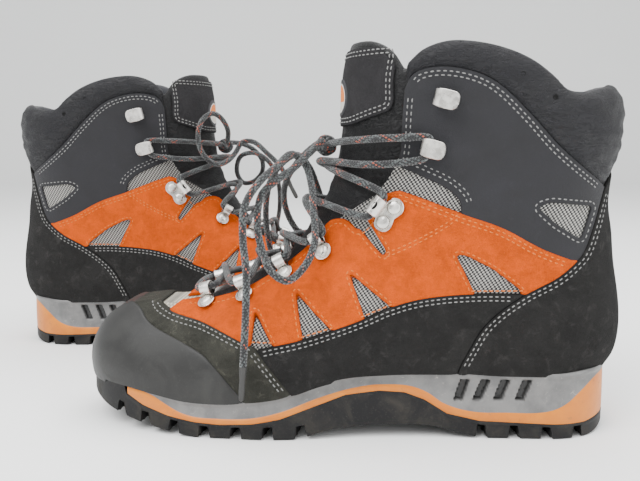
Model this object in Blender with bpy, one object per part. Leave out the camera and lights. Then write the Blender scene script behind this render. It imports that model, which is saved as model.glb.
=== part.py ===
"""A pair of mid-weight mountaineering boots, standing heel to toe as a left and a right boot.

Each boot is drawn once, in millimetres, in its own frame: x from the heel to the toe, y towards the
outer (lateral) side and z up from the floor. The right boot is the left one mirrored. The upper is
one surface, S(v, phi): v climbs from the feather line to the topline and phi runs round the foot,
0 at the front ridge, 90 degrees on the lateral side and 180 degrees at the heel. Every leather panel
is a region of that surface, drawn in side view and thickened.
"""

import math

import bmesh
import bpy
import numpy as np
from mathutils import Matrix, Vector
from mathutils.bvhtree import BVHTree

MM = 0.001

# Placement of the two boots on the floor: heel position, heading of the toe and side.
BOOTS = {
    "left": {"heel_mm": (210.25, -112.15), "heading_deg": 177.0, "mirror": False},
    "right": {"heel_mm": (-210.25, 104.85), "heading_deg": 0.0, "mirror": True},
}

# Side silhouettes of the upper, (x, z) in mm.
FRONT_RIDGE = [
    (300, 6), (309, 20), (312, 32), (311, 43), (306, 54), (298, 63.5), (287, 70), (274, 72.8),
    (258, 73.6), (243, 75.5), (226, 82), (207, 91), (194, 98.5), (184, 109), (176, 121), (169, 134),
    (163, 152), (160, 168), (158.5, 185), (158, 202), (156, 214), (154, 225), (151, 240),
]
BACK_RIDGE = [
    (12, 20), (7, 34), (1, 44), (-1.7, 56), (-1.7, 68), (2.6, 96), (4.6, 113), (7.2, 130),
    (5.8, 148), (4, 158), (2.5, 174), (2.4, 184), (4.2, 192), (8.8, 200), (13, 214),
]
# Half-widths of the foot along x, centre line of the foot, and half-width of the shaft along z.
FOOT_X = [0, 25, 60, 100, 140, 175, 205, 235, 265, 290, 315]
LATERAL = [35, 36, 37, 38, 42.5, 48, 51, 50, 46, 43, 42]
MEDIAL = [35, 36, 36.5, 36.5, 39, 44, 49.5, 51, 48, 44, 42]
CENTRE = [0, 0, 0, 0, -0.5, -1.5, -3, -5, -7, -8.5, -9]
SHAFT_Z = [60, 100, 130, 160, 200, 240]
SHAFT_HALF = [37, 38.5, 40, 42, 45, 46]
ROUND_FRONT_LOW, ROUND_FRONT_HIGH, ROUND_BACK = 46, 60, 42

# Heights of the sole layers along x.
FEATHER = [
    (0, 38), (17, 38), (39, 37), (66, 37), (92, 38), (119, 38.5), (137, 38), (156, 36.5), (170, 33),
    (186, 27), (213, 22), (233, 21), (248, 21.5), (263, 24), (284, 27), (315, 28),
]
MIDSOLE_TOP = [
    (5, 36), (15, 33), (24, 27), (33, 20), (43, 16), (65, 15), (86, 15.5), (101, 20), (110, 26),
    (119, 29.5), (137, 30.5), (153, 28.5), (170, 24), (192, 16), (211, 12), (233, 11.5), (248, 13.5),
    (260, 19), (267, 22.5), (284, 25.5),
]
OUTSOLE_TOP = [
    (5, 11), (21, 8.5), (39, 8.5), (56, 9), (81, 10), (99, 14), (112, 22), (123, 26), (137, 27),
    (156, 25), (170, 20), (192, 12), (208, 9), (226, 8), (241, 9), (256, 11), (272, 15.5), (283.2, 21), (284.4, 27), (312, 28),
]
SOLE_X = [0, 40, 100, 140, 175, 205, 235, 265, 290, 315]
SOLE_HALF = [39, 39, 39.5, 42, 48, 52, 52, 48, 46, 45]
SOLE_BACK, SOLE_FRONT = 5, 312
SOLE_STATIONS = [
    5, 8, 15, 26, 45, 65, 85, 99, 112, 124, 140, 156, 170, 186, 208, 232, 250, 266, 276, 283.2, 284.4, 297,
    306, 312,
]
SOLE_HEEL_ROUND, SOLE_TOE_ROUND = 38, 58
LUG_HEIGHT = 3.6
LAYER_GAP, HIDDEN_LIFT = 0.4, 2.6
LUG_BOTTOM = [
    (5, 4), (14, 0.8), (20, 0), (76, 0), (88, 1.5), (98, 4), (107, 6.5), (140, 7), (160, 5.5), (170, 3.5),
    (178, 1.2), (186, 0), (238, 0), (246, 0.7), (256, 2), (266, 3.6), (276, 5.4), (286, 7.4), (300, 11),
    (312, 16),
]
FOOTBED_TOP = [(10, 47), (30, 45.5), (80, 44.5), (120, 45), (170, 40), (215, 30), (260, 31), (300, 35)]
RAIL_Y = 9
FORE_TREAD, HEEL_TREAD = (168, 300), (18, 94)
FORE_GROOVES = [176, 194, 212, 230, 248, 266, 283]
HEEL_GROOVES = [28, 46, 64, 82]
GROOVE_WIDTH = 4.2
FRAME_SLOTS = [(89, 93), (77.5, 82.5), (66.5, 71), (54.5, 59)]
SLOT_LOW, SLOT_TOP, SLOT_WIDTH = 21, 33.5, 5.6

# Layers of the upper, as offsets from its surface.
PANEL_INNER, PANEL_THICK = 0.35, 1.3
STAY_OUTER, STAY_THICK = -0.15, 0.8
TEXTILE_OUTER, TEXTILE_THICK = -1.5, 1.2
LINING_OUTER, LINING_THICK = -3.6, 2.0
COLLAR_OUTER, COLLAR_THICK = 1.6, 8.0
TONGUE_OUTER, TONGUE_THICK = -0.8, 4.5
SEAM_GAP = 0.45
BIG = 60
GRID_AROUND, GRID_UP = 16, 9
BELOW_FEATHER, HALF_CUT = 5, 4

# Outlines of the panels in side view. A curve shared by two panels is written once.
RAND_EDGE = [
    (287, 76), (287, 70), (278, 66.5), (272, 61.5), (266, 58), (255, 54), (244, 50), (235, 46),
    (228, 40), (218, 29), (208, 17),
]
VAMP_EDGE = [(270, 80), (269, 72), (259, 66.5), (235, 62), (214, 55), (205, 51)]
VAMP_SEAM = [(205, 51), (199, 43), (186, 26), (180, 18)]
SIDE_TOP = [
    (205, 51), (197, 53), (180, 57), (164, 62), (147, 68), (133, 74), (115, 79), (84, 82), (57, 82),
]
HEEL_EDGE = [
    (-12, 149), (6, 149), (14, 140), (21, 119), (27, 104), (31, 99.5), (41, 91), (57, 82), (71, 72), (80, 63),
    (87, 51), (93, 39), (97, 25),
]
SADDLE_TOP = [(31, 99.5), (50, 107), (71, 118), (94, 126), (115, 134), (127, 138)]
SADDLE_FRONT = [
    (134, 136), (141, 128), (144, 120), (149, 116), (156, 121), (164, 120), (171, 111.5),
    (181, 101.5), (194, 91.5), (214, 80), (235, 73), (252, 71), (259, 66.5),
]
CUFF_BOTTOM = [(127, 152), (113, 146), (101, 140), (94, 133), (93, 126)]
CUFF_FRONT = [(127, 152), (125.5, 163), (125, 178), (124, 193)]
CUFF_TOP = [
    (124, 193), (120, 200), (112, 203), (99, 203), (84, 199), (74, 193), (59, 179), (43, 162),
    (31, 152), (18, 143), (14, 140),
]
COLLAR_TOP = [
    (-12, 197), (9, 197), (20, 193), (31, 191), (39, 192), (47, 199), (60, 208), (75, 214),
    (91, 217), (104, 217), (116, 213), (124, 206),
]
THROAT = [
    (247, 90), (247, 75), (236, 75.5), (215, 82.5), (195, 94), (182, 104), (172, 114), (163, 124),
    (152, 132), (142, 139), (134, 146), (129, 154), (126.5, 165), (126, 180), (125, 195), (125, 240),
]
TONGUE_FOLD_Z = 167
TONGUE_FOLD = (160.5, 0, 167)
TONGUE_TOP = [(0, 204), (126, 204), (133, 214), (143, 220), (156, 222), (400, 222)]
CUFF_WINDOWS = [[(53, 130), (46, 132.5), (22, 130), (28.5, 112), (43, 121)]]
SADDLE_WINDOWS = [
    [(96, 104), (90, 103), (76, 96), (62, 85.5), (81, 85.5)],
    [(154, 93), (146, 73), (133, 77.5)],
    [(182, 81), (180, 62), (167, 66)],
    [(206, 68), (207, 57), (198, 58)],
]

# Lacing hardware: rivet places in side view, from the toe up.
LOOP_RIVETS = [(236, 71.5), (213, 77.5), (190, 90), (168, 104)]
CLAMP_RIVETS = [(129, 129), (135, 121)]
HOOK_RIVETS = [(108, 161), (102, 187)]
RIVET_R, RIVET_HOLE_R = 1.6, 2.4
PLATE_UNDER, SHEET = 3.2, 1.0
LOOP_REACH, LOOP_RING_R = 5.4, 3.9
LOOP_HEIGHT = PLATE_UNDER + SHEET / 2 + LOOP_RING_R
TUNNEL_R, HOOK_R = 3.6, 3.1
LACE_R = 1.45
AGLET_R, AGLET_LENGTH = 1.7, 17
THIN_BY = 0.55
# Where the lace runs through a fitting: across and along from it.
LOOP_GUIDES = [(0.6, -5), (0.6, -1.5), (0.6, 1.5), (0.4, 5)]
TUNNEL_GUIDES = [(7.5, -7), (7.5, -3.5), (7.5, 0), (7.5, 3.5), (7.5, 7)]
LACE_OFF_SKIN = 4.1
BAR = (243, 76)
KNOT = np.array((168.5, 0, 163))

# The bow of each boot: from the knot round an ear, back to the knot, then down the tail.
BOWS = {
    "left": {
        "lateral": [
            (170, 8, 166), (178, 17, 158), (186, 26, 150), (194, 34, 144), (202, 41, 136), (204, 45, 120),
            (201, 48, 106), (196, 53, 96), (187, 55, 91), (178, 50, 98), (173, 42, 110), (174, 32, 125),
            (176, 22, 141), (180, 15, 152), (187, 22, 158), (195, 33, 151), (203, 43, 143), (210, 49, 131),
            (211, 52, 114), (209, 55, 97), (209, 56, 80), (210, 56, 60), (211, 57, 42),
        ],
        "medial": [
            (171, -8, 166), (180, -18, 160), (189, -28, 151), (196, -37, 140), (198, -45, 127),
            (194, -51, 113), (187, -54, 104), (179, -52, 103), (174, -46, 113), (173, -37, 126),
            (176, -26, 139), (180, -17, 150), (187, -22, 157), (198, -34, 152), (207, -45, 140),
            (211, -54, 124), (211, -58, 106), (208, -60, 88), (206, -61, 70),
        ],
    },
    "right": {
        "lateral": [
            (171, 8, 166), (172, 14, 176), (167, 21, 186), (161, 27, 189), (154, 33, 184), (151, 37, 174),
            (152, 38, 162), (158, 36, 152), (166, 30, 148), (173, 22, 151), (178, 15, 157), (184, 14, 166),
            (194, 18, 166), (205, 22, 157), (216, 24, 146), (222, 25, 135),
        ],
        "medial": [
            (171, -8, 166), (180, -16, 165), (190, -24, 160), (197, -32, 150), (196, -38, 139),
            (188, -40, 131), (180, -38, 130), (175, -31, 138), (176, -22, 148), (181, -14, 155),
            (190, -18, 157), (200, -30, 152), (208, -42, 140), (211, -52, 125), (211, -57, 106),
            (208, -60, 88), (206, -61, 70),
        ],
    },
}


def collection(name):
    made = bpy.data.collections.new(name)
    bpy.context.scene.collection.children.link(made)
    return made


def material(name, colour, roughness, metallic=0.0):
    made = bpy.data.materials.new(name)
    made.use_nodes = True
    shader = made.node_tree.nodes["Principled BSDF"]
    shader.inputs["Base Color"].default_value = (*colour, 1)
    shader.inputs["Roughness"].default_value = roughness
    shader.inputs["Metallic"].default_value = metallic
    return made


for old in list(bpy.data.objects):
    bpy.data.objects.remove(old)
PARTS = collection("mountaineering_boots")
CUTTERS = collection("cutters")
CUTTERS.hide_render = True

SUEDE_ORANGE = material("orange suede", (0.80, 0.22, 0.02), 0.95)
SUEDE_GREY = material("grey suede", (0.075, 0.073, 0.072), 0.95)
NUBUCK = material("anthracite nubuck", (0.05, 0.052, 0.058), 0.85)
RUBBER_GREY = material("toe rubber", (0.06, 0.062, 0.065), 0.6)
RUBBER_BLACK = material("tread rubber", (0.02, 0.02, 0.02), 0.7)
MIDSOLE_FOAM = material("orange midsole foam", (0.75, 0.30, 0.04), 0.55)
FRAME_GREY = material("grey frame plastic", (0.22, 0.23, 0.24), 0.4)
BOARD = material("insole board", (0.35, 0.30, 0.22), 0.8)
FOOTBED = material("footbed foam", (0.09, 0.09, 0.10), 0.9)
MESH_CLOTH = material("woven mesh cloth", (0.30, 0.30, 0.28), 0.9)
LINING = material("lining cloth", (0.05, 0.05, 0.055), 0.9)
COLLAR_PAD = material("padded collar leather", (0.02, 0.02, 0.022), 0.6)
TONGUE_PAD = material("padded tongue leather", (0.022, 0.022, 0.024), 0.6)
STEEL = material("nickel plated steel", (0.62, 0.60, 0.57), 0.3, 1.0)
LACE = material("round lace", (0.05, 0.055, 0.06), 0.8)
AGLET = material("lace tip", (0.22, 0.22, 0.21), 0.5)


def spline(keys, count):
    """A smooth curve through 2D or 3D keys, resampled to evenly spaced points."""
    pts = np.array(keys, float)
    ends = np.vstack([2 * pts[0] - pts[1], pts, 2 * pts[-1] - pts[-2]])
    out = []
    for p0, p1, p2, p3 in zip(ends, ends[1:], ends[2:], ends[3:]):
        knots = np.cumsum([0] + [np.linalg.norm(b - a) ** 0.5 for a, b in ((p0, p1), (p1, p2), (p2, p3))])
        t = np.linspace(knots[1], knots[2], 16, endpoint=False)[:, None]
        a1 = ((knots[1] - t) * p0 + t * p1) / knots[1]
        a2 = ((knots[2] - t) * p1 + (t - knots[1]) * p2) / (knots[2] - knots[1])
        a3 = ((knots[3] - t) * p2 + (t - knots[2]) * p3) / (knots[3] - knots[2])
        b1 = ((knots[2] - t) * a1 + t * a2) / knots[2]
        b2 = ((knots[3] - t) * a2 + (t - knots[1]) * a3) / (knots[3] - knots[1])
        out.append(((knots[2] - t) * b1 + (t - knots[1]) * b2) / (knots[2] - knots[1]))
    line = np.vstack(out + [pts[-1:]])
    arc = np.r_[0, np.cumsum(np.linalg.norm(np.diff(line, axis=0), axis=1))]
    even = np.linspace(0, arc[-1], count)
    return np.stack([np.interp(even, arc, line[:, k]) for k in range(line.shape[1])], 1)


FRONT = spline(FRONT_RIDGE, 260)
BACK = spline(BACK_RIDGE, 200)


def nearest(points, line):
    """Distance from each 2D point to a polyline."""
    start, step = line[:-1], np.diff(line, axis=0)
    away = points[:, None] - start[None]
    t = np.clip((away * step).sum(2) / (step**2).sum(1), 0, 1)
    return np.linalg.norm(away - t[..., None] * step, axis=2).min(1)


def ease(t):
    t = np.clip(t, 0, 1)
    return t * t * (3 - 2 * t)


def dome(t):
    """0 at an edge, 1 from t = 1 on, with the round shoulder of a quarter circle."""
    return np.sqrt(np.clip(1 - (1 - np.clip(t, 0, 1)) ** 2, 0, 1))


def half_width(points, lateral):
    """Half-width of the upper at side-view points (x, z)."""
    x, z = points[:, 0], points[:, 1]
    foot = np.interp(x, FOOT_X, LATERAL if lateral else MEDIAL)
    shaft = np.interp(z, SHAFT_Z, SHAFT_HALF)
    width = foot + (shaft - foot) * ease((z - 70) / 60)
    round_front = ROUND_FRONT_LOW + (ROUND_FRONT_HIGH - ROUND_FRONT_LOW) * ease((z - 90) / 60)
    return width * dome(nearest(points, FRONT) / round_front) * dome(nearest(points, BACK) / ROUND_BACK)


def arc_at(line, x, z):
    """Arc fraction of the point of a silhouette nearest to (x, z)."""
    return np.argmin(np.hypot(line[:, 0] - x, line[:, 1] - z)) / (len(line) - 1)


# Front and back silhouette points that one loop of the surface joins, from the feather line up.
LOOP_V = [0, 0.2, 0.36, 0.6, 0.8, 1]
LOOP_FRONT = [arc_at(FRONT, *p) for p in ((311, 28), (287, 70), (243, 75.5), (184, 109), (160, 168), (151, 240))]
LOOP_BACK = [arc_at(BACK, *p) for p in ((4.6, 38), (-1.7, 60), (0, 80), (5, 112), (6.5, 148), (13, 214))]


def along(line, fraction):
    index = np.asarray(fraction) * (len(line) - 1)
    return np.stack([np.interp(index, np.arange(len(line)), line[:, k]) for k in (0, 1)], -1)


def base_point(v, phi):
    """Points of the upper's surface for arrays v and phi."""
    front = along(FRONT, np.interp(v, LOOP_V, LOOP_FRONT))
    back = along(BACK, np.interp(v, LOOP_V, LOOP_BACK))
    share = (1 + np.cos(phi)) / 2
    side = back + (front - back) * share[:, None]
    straight = 38 + (28 - 38) * share
    sag = np.interp(side[:, 0], *zip(*FEATHER)) - BELOW_FEATHER - straight
    side[:, 1] += sag * (1 - v) ** 3
    lateral = np.sin(phi) >= 0
    width = np.where(lateral, half_width(side, True), half_width(side, False))
    width = np.where(np.abs(np.sin(phi)) < 1e-9, 0, width)
    y = np.interp(side[:, 0], FOOT_X, CENTRE) + np.where(lateral, width, -width)
    return np.stack([side[:, 0], y, side[:, 1]], 1)


def surface(v, phi, offset):
    """Points of the upper moved out along its normal by offset."""
    step_v, step_phi = 0.012, 0.06
    high, low = np.minimum(v + step_v, 1), np.maximum(v - step_v, 0)
    up = base_point(high, phi) - base_point(low, phi)
    around = base_point(v, phi + step_phi) - base_point(v, phi - step_phi)
    normal = np.cross(around, up)
    normal /= np.linalg.norm(normal, axis=1)[:, None]
    return base_point(v, phi) + normal * offset


def grid(around, up):
    """(v, phi, triangles) of the whole upper, open along its bottom and top."""
    v, phi = np.meshgrid(np.linspace(0, 1, up + 1), np.arange(around) * math.tau / around, indexing="ij")
    row = np.arange(around)
    faces = []
    for low in range(0, up * around, around):
        for a, b in zip(row + low, np.roll(row, -1) + low):
            faces += [(a, b, b + around), (a, b + around, a + around)]
    return v.ravel(), phi.ravel(), faces


def base_faces():
    """(points, triangles) of the upper's surface as it is meshed."""
    v, phi, faces = grid(GRID_AROUND, GRID_UP)
    return base_point(v, phi), faces


SKIN = BVHTree.FromPolygons(*[[tuple(item) for item in part] for part in base_faces()])


class Boot:
    """One boot: makes its objects, mirrored or not, under one empty."""

    def __init__(self, name, heel_mm, heading_deg, mirror):
        self.name, self.flip = name, -1 if mirror else 1
        self.empty = bpy.data.objects.new(f"{name}_boot", None)
        self.empty.location = (heel_mm[0] * MM, heel_mm[1] * MM, 0)
        self.empty.rotation_euler.z = math.radians(heading_deg)
        PARTS.objects.link(self.empty)

    def place(self, point):
        return Vector((point[0] * MM, point[1] * MM * self.flip, point[2] * MM))

    def mesh_object(self, name, points, faces, material, collection=None):
        """A mesh object from local millimetre points, mirrored for the right boot."""
        mesh = bpy.data.meshes.new(name)
        turned = faces if self.flip > 0 else [tuple(reversed(f)) for f in faces]
        mesh.from_pydata([self.place(p) for p in points], [], [tuple(map(int, f)) for f in turned])
        tidy = bmesh.new()
        tidy.from_mesh(mesh)
        bmesh.ops.remove_doubles(tidy, verts=tidy.verts, dist=2e-5)
        bmesh.ops.delete(tidy, geom=[v for v in tidy.verts if not v.link_faces], context="VERTS")
        tidy.to_mesh(mesh)
        tidy.free()
        mesh.materials.append(material)
        mesh.shade_smooth()
        mesh.set_sharp_from_angle(angle=math.radians(35))
        obj = bpy.data.objects.new(f"{self.name}_{name}", mesh)
        (collection or PARTS).objects.link(obj)
        obj.parent = self.empty
        return obj

    def cutter(self, name, points, faces):
        obj = self.mesh_object(name, points, faces, STEEL, CUTTERS)
        bm = bmesh.new()
        bm.from_mesh(obj.data)
        bmesh.ops.recalc_face_normals(bm, faces=bm.faces)
        bm.to_mesh(obj.data)
        bm.free()
        obj.hide_render, obj.display_type = True, "WIRE"
        return obj


def boolean(obj, other, operation):
    """Cuts obj by other, or joins other to it, and applies the result. EXACT loses some of these thin shells."""
    modifier = obj.modifiers.new(other.name, "BOOLEAN")
    modifier.object, modifier.operation, modifier.solver = other, operation, "MANIFOLD"
    mesh = evaluated_mesh(obj)
    obj.modifiers.clear()
    obj.data = mesh
    bpy.data.objects.remove(other)


def evaluated_mesh(obj):
    bpy.context.view_layer.update()
    graph = bpy.context.evaluated_depsgraph_get()
    return bpy.data.meshes.new_from_object(obj.evaluated_get(graph))


def prism(boot, outline, low, high):
    """A cutter: a side-view outline carried across the boot from y = low to y = high."""
    n = len(outline)
    points = [(x, y, z) for y in (low, high) for x, z in outline]
    faces = [tuple(range(n)), tuple(range(2 * n - 1, n - 1, -1))]
    faces += [(k, n + k, n + (k + 1) % n, (k + 1) % n) for k in range(n)]
    return boot.cutter("prism", points, faces)


def inset(outline, gap):
    """A closed outline moved inwards by the seam gap."""
    line = np.array(outline, float)
    ahead, behind = np.roll(line, -1, 0) - line, line - np.roll(line, 1, 0)
    area = np.cross(line, np.roll(line, -1, 0)).sum()
    turn = np.sign(area) * np.array([[0, 1], [-1, 0]])
    normals = [step @ turn / np.linalg.norm(step, axis=1)[:, None] for step in (ahead, behind)]
    mitre = normals[0] + normals[1]
    mitre /= np.maximum((mitre**2).sum(1), 0.8)[:, None] / 2
    return [tuple(p) for p in line + mitre * gap]


def shell(boot, name, offset, thickness, outwards, material, every=1, lift=LAYER_GAP):
    """The whole upper as a shell at an offset from its surface, cut off above the feather line."""
    v, phi, faces = grid(GRID_AROUND, GRID_UP)
    low, high = (offset, offset + thickness) if outwards else (offset - thickness, offset)
    points = np.vstack([surface(v, phi, high), surface(v, phi, low)])
    n, row = len(v), np.arange(GRID_AROUND)
    faces = faces + [tuple(n + k for k in reversed(face)) for face in faces]
    for start, rim in ((0, 1), (n - GRID_AROUND, -1)):
        for a, b in zip(row + start, np.roll(row, -1) + start):
            faces += [(a, n + a, n + b)[::rim], (a, n + b, b)[::rim]]
    obj = boot.mesh_object(name, points, faces, material)
    line = [(x, height(FEATHER, lift)(x)) for x in SOLE_STATIONS[::every]]
    above = [(-40, line[0][1])] + line + [(360, line[-1][1]), (360, 300), (-40, 300)]
    boolean(obj, prism(boot, above, -2 * BIG, 2 * BIG), "INTERSECT")
    return obj


def panel(boot, name, whole, outline, material, half=0, gap=SEAM_GAP):
    """A region of a shell, drawn in side view, on both sides or on one."""
    obj = whole.copy()
    obj.data = whole.data.copy()
    obj.name = f"{boot.name}_{name}"
    obj.data.materials.clear()
    obj.data.materials.append(material)
    PARTS.objects.link(obj)
    reach = {0: (-2 * BIG, 2 * BIG), 1: (HALF_CUT, 2 * BIG), -1: (-2 * BIG, -HALF_CUT)}[half]
    boolean(obj, prism(boot, inset(outline, gap), *reach), "INTERSECT")
    return obj


THROAT_REGION = THROAT + [(330, 240), (330, 100), (260, 90)]
COLLAR_REGION = CUFF_TOP[::-1][1:] + [(124, 206)] + COLLAR_TOP[::-1][1:] + [(-12, 149), (6, 149)]
HEEL_REGION = HEEL_EDGE + [(-12, 20)]
BELOW_COLLAR = [(-30, 0), (-30, 149), (6, 149), (14, 140)] + CUFF_TOP[::-1][1:] + [(400, 193), (400, 0)]
SIDE_BAND = SIDE_TOP + HEEL_EDGE[8:] + [(97, 10), (180, 10)] + VAMP_SEAM[::-1][:-1]
SADDLE = VAMP_EDGE[2:] + SIDE_TOP[1:] + HEEL_EDGE[5:7][::-1] + SADDLE_TOP[1:] + SADDLE_FRONT[:-1]
CUFF = SADDLE_TOP[:4] + CUFF_BOTTOM[::-1][1:] + CUFF_FRONT[1:] + CUFF_TOP[1:] + HEEL_EDGE[3:5]
VAMP = RAND_EDGE[::-1] + [(287, 90)] + VAMP_EDGE + VAMP_SEAM[1:]
TOE_RAND = RAND_EDGE + [(208, 0), (340, 0), (340, 76)]


def make_upper(boot):
    """Lining, textile base, leather panels, collar and tongue."""
    for name, offset, thickness, cloth in (
        ("waterproof_lining", LINING_OUTER, LINING_THICK, LINING),
        ("textile_upper", TEXTILE_OUTER, TEXTILE_THICK, MESH_CLOTH),
    ):
        obj = shell(boot, name, offset, thickness, False, cloth, 3, HIDDEN_LIFT)
        boolean(obj, prism(boot, inset(BELOW_COLLAR, 0.8), -2 * BIG, 2 * BIG), "INTERSECT")
        boolean(obj, prism(boot, inset(THROAT_REGION, -SEAM_GAP), -2 * BIG, 2 * BIG), "DIFFERENCE")

    leather = shell(boot, "leather", PANEL_INNER, PANEL_THICK, True, SUEDE_GREY)
    panel(boot, "toe_rand", leather, TOE_RAND, RUBBER_GREY)
    panel(boot, "vamp_suede", leather, VAMP, SUEDE_GREY)
    panel(boot, "heel_counter", leather, HEEL_REGION, SUEDE_GREY)
    for side, half in (("lateral", 1), ("medial", -1)):
        panel(boot, f"side_band_{side}", leather, SIDE_BAND, SUEDE_GREY, half)
        saddle = panel(boot, f"saddle_{side}", leather, SADDLE, SUEDE_ORANGE, half)
        cut_windows(boot, saddle, half, SADDLE_WINDOWS)
        drill(boot, saddle, half, LOOP_RIVETS + CLAMP_RIVETS)
        cuff = panel(boot, f"cuff_{side}", leather, CUFF, NUBUCK, half)
        cut_windows(boot, cuff, half, CUFF_WINDOWS)
        drill(boot, cuff, half, HOOK_RIVETS)
    bpy.data.objects.remove(leather)

    padding = shell(boot, "padding", COLLAR_OUTER, COLLAR_THICK, False, COLLAR_PAD)
    panel(boot, "collar", padding, COLLAR_REGION, COLLAR_PAD)
    bpy.data.objects.remove(padding)
    make_tongue(boot)


def make_tongue(boot):
    """The padded tongue fills the throat, and its top folds forward above the knot."""
    padding = shell(boot, "padding", TONGUE_OUTER, TONGUE_THICK, False, TONGUE_PAD)
    throat = panel(boot, "throat", padding, THROAT_REGION, TONGUE_PAD)
    below = [(0, 0), (0, TONGUE_FOLD_Z), (400, TONGUE_FOLD_Z), (400, 0)]
    above = [(0, TONGUE_FOLD_Z)] + TONGUE_TOP + [(400, TONGUE_FOLD_Z)]
    panel(boot, "tongue", throat, below, TONGUE_PAD)
    flap = panel(boot, "tongue_flap", throat, above, TONGUE_PAD)
    fold = boot.place(TONGUE_FOLD)
    flap.data.transform(Matrix.Translation(-fold))
    flap.location = fold
    bpy.data.objects.remove(throat)
    bpy.data.objects.remove(padding)


def cut_windows(boot, obj, half, outlines):
    """The textile shows through these openings in a panel."""
    for outline in outlines:
        low, high = sorted((half * HALF_CUT, half * 2 * BIG))
        boolean(obj, prism(boot, outline, low, high), "DIFFERENCE")


def on_surface(x, z, half):
    """(point, normal) of the upper at a side-view place."""
    def at(dx, dz):
        width = half_width(np.array([(x + dx, z + dz)], float), half > 0)[0]
        return np.array([x + dx, np.interp(x + dx, FOOT_X, CENTRE) + half * width, z + dz])

    normal = half * np.cross(at(0, 1.5) - at(0, -1.5), at(1.5, 0) - at(-1.5, 0))
    hit = SKIN.ray_cast((x, half * 2 * BIG, z), (0, -half, 0))[0]
    return np.array(hit), normal / np.linalg.norm(normal)


def rod(start, end, radius, sides=6):
    """Points and faces of a closed cylinder between two points."""
    start, end = np.array(start, float), np.array(end, float)
    axis = (end - start) / np.linalg.norm(end - start)
    first = np.cross(axis, (0, 0, 1) if abs(axis[2]) < 0.9 else (1, 0, 0))
    first /= np.linalg.norm(first)
    second = np.cross(axis, first)
    angles = np.arange(sides) * math.tau / sides
    ring = radius * (np.outer(np.cos(angles), first) + np.outer(np.sin(angles), second))
    faces = [tuple(range(sides))[::-1], tuple(range(sides, 2 * sides))]
    faces += [(k, (k + 1) % sides, sides + (k + 1) % sides, sides + k) for k in range(sides)]
    return np.vstack([ring + start, ring + end]), faces


def drill(boot, obj, half, places):
    """Rivet holes through a leather panel."""
    for number, (x, z) in enumerate(places):
        point, normal = on_surface(x, z, half)
        points, faces = rod(point - normal * 4, point + normal * 6, RIVET_HOLE_R)
        boolean(obj, boot.cutter(f"rivet_hole_{number}", points, faces), "DIFFERENCE")


def sole_half(x, z, lateral):
    """Half-width of the sole at a height: rounded in plan at heel and toe, drawn in a little at the top."""
    width = np.interp(x, SOLE_X, SOLE_HALF) - 1.5 * z / 38
    ends = dome((x - SOLE_BACK) / SOLE_HEEL_ROUND) * dome((SOLE_FRONT - x) / SOLE_TOE_ROUND)
    return max(width * ends, 1.0)


def inner_half(clearance):
    """Half-width left inside the upper at this clearance from its surface."""
    def half(x, z, lateral):
        centre, side = np.interp(x, FOOT_X, CENTRE), 1 if lateral else -1
        free = [y for y in np.arange(0, BIG, 0.5) if SKIN.find_nearest((x, centre + side * y, z))[3] >= clearance]
        inside_run = [y for k, y in enumerate(free) if y == 0.5 * k]
        return max(inside_run[-1] if inside_run else 0, 0.6)

    return half


def layer(boot, name, span, low, high, half, material):
    """A sole layer between two heights, as a loft of six-sided sections from heel to toe."""
    xs = [span[0]] + [x for x in SOLE_STATIONS if span[0] + 1 < x < span[1] - 1] + [span[1]]
    points = []
    for x in xs:
        centre, z0, z1 = np.interp(x, FOOT_X, CENTRE), low(x), high(x)
        middle = (z0 + z1) / 2
        for lateral, levels in ((True, (z0, middle, z1)), (False, (z1, middle, z0))):
            side = 1 if lateral else -1
            points += [(x, centre + side * half(x, z, lateral), z) for z in levels]
    faces = [tuple(range(6)), tuple(range(6 * len(xs) - 1, 6 * len(xs) - 7, -1))]
    for k in range(len(xs) - 1):
        for a in range(6):
            b = (a + 1) % 6
            faces.append((6 * k + b, 6 * k + a, 6 * k + 6 + a, 6 * k + 6 + b))
    obj = boot.mesh_object(name, points, faces, material)
    return face_out(obj)


def face_out(obj):
    bm = bmesh.new()
    bm.from_mesh(obj.data)
    bmesh.ops.recalc_face_normals(bm, faces=bm.faces)
    bm.to_mesh(obj.data)
    bm.free()
    return obj


def height(keys, lift=0.0):
    return lambda x: float(np.interp(x, *zip(*keys))) + lift


def boxes_cutter(boot, name, corners):
    """One cutter from several blocks, each given by its eight corners."""
    points, faces = [], []
    block = [(0, 1, 2, 3), (7, 6, 5, 4), (0, 4, 5, 1), (1, 5, 6, 2), (2, 6, 7, 3), (3, 7, 4, 0)]
    for eight in corners:
        faces += [tuple(len(points) + k for k in face) for face in block]
        points += eight
    return boot.cutter(name, points, faces)


def groove(x, width, y0, y1, skew, top):
    """Corners of one tread groove across the sole, from below the floor to a height."""
    plan = [(x - width / 2, y0), (x + width / 2, y0), (x + width / 2 + skew, y1), (x - width / 2 + skew, y1)]
    return [(px, py, -5) for px, py in plan] + [(px, py, top) for px, py in plan]


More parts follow.
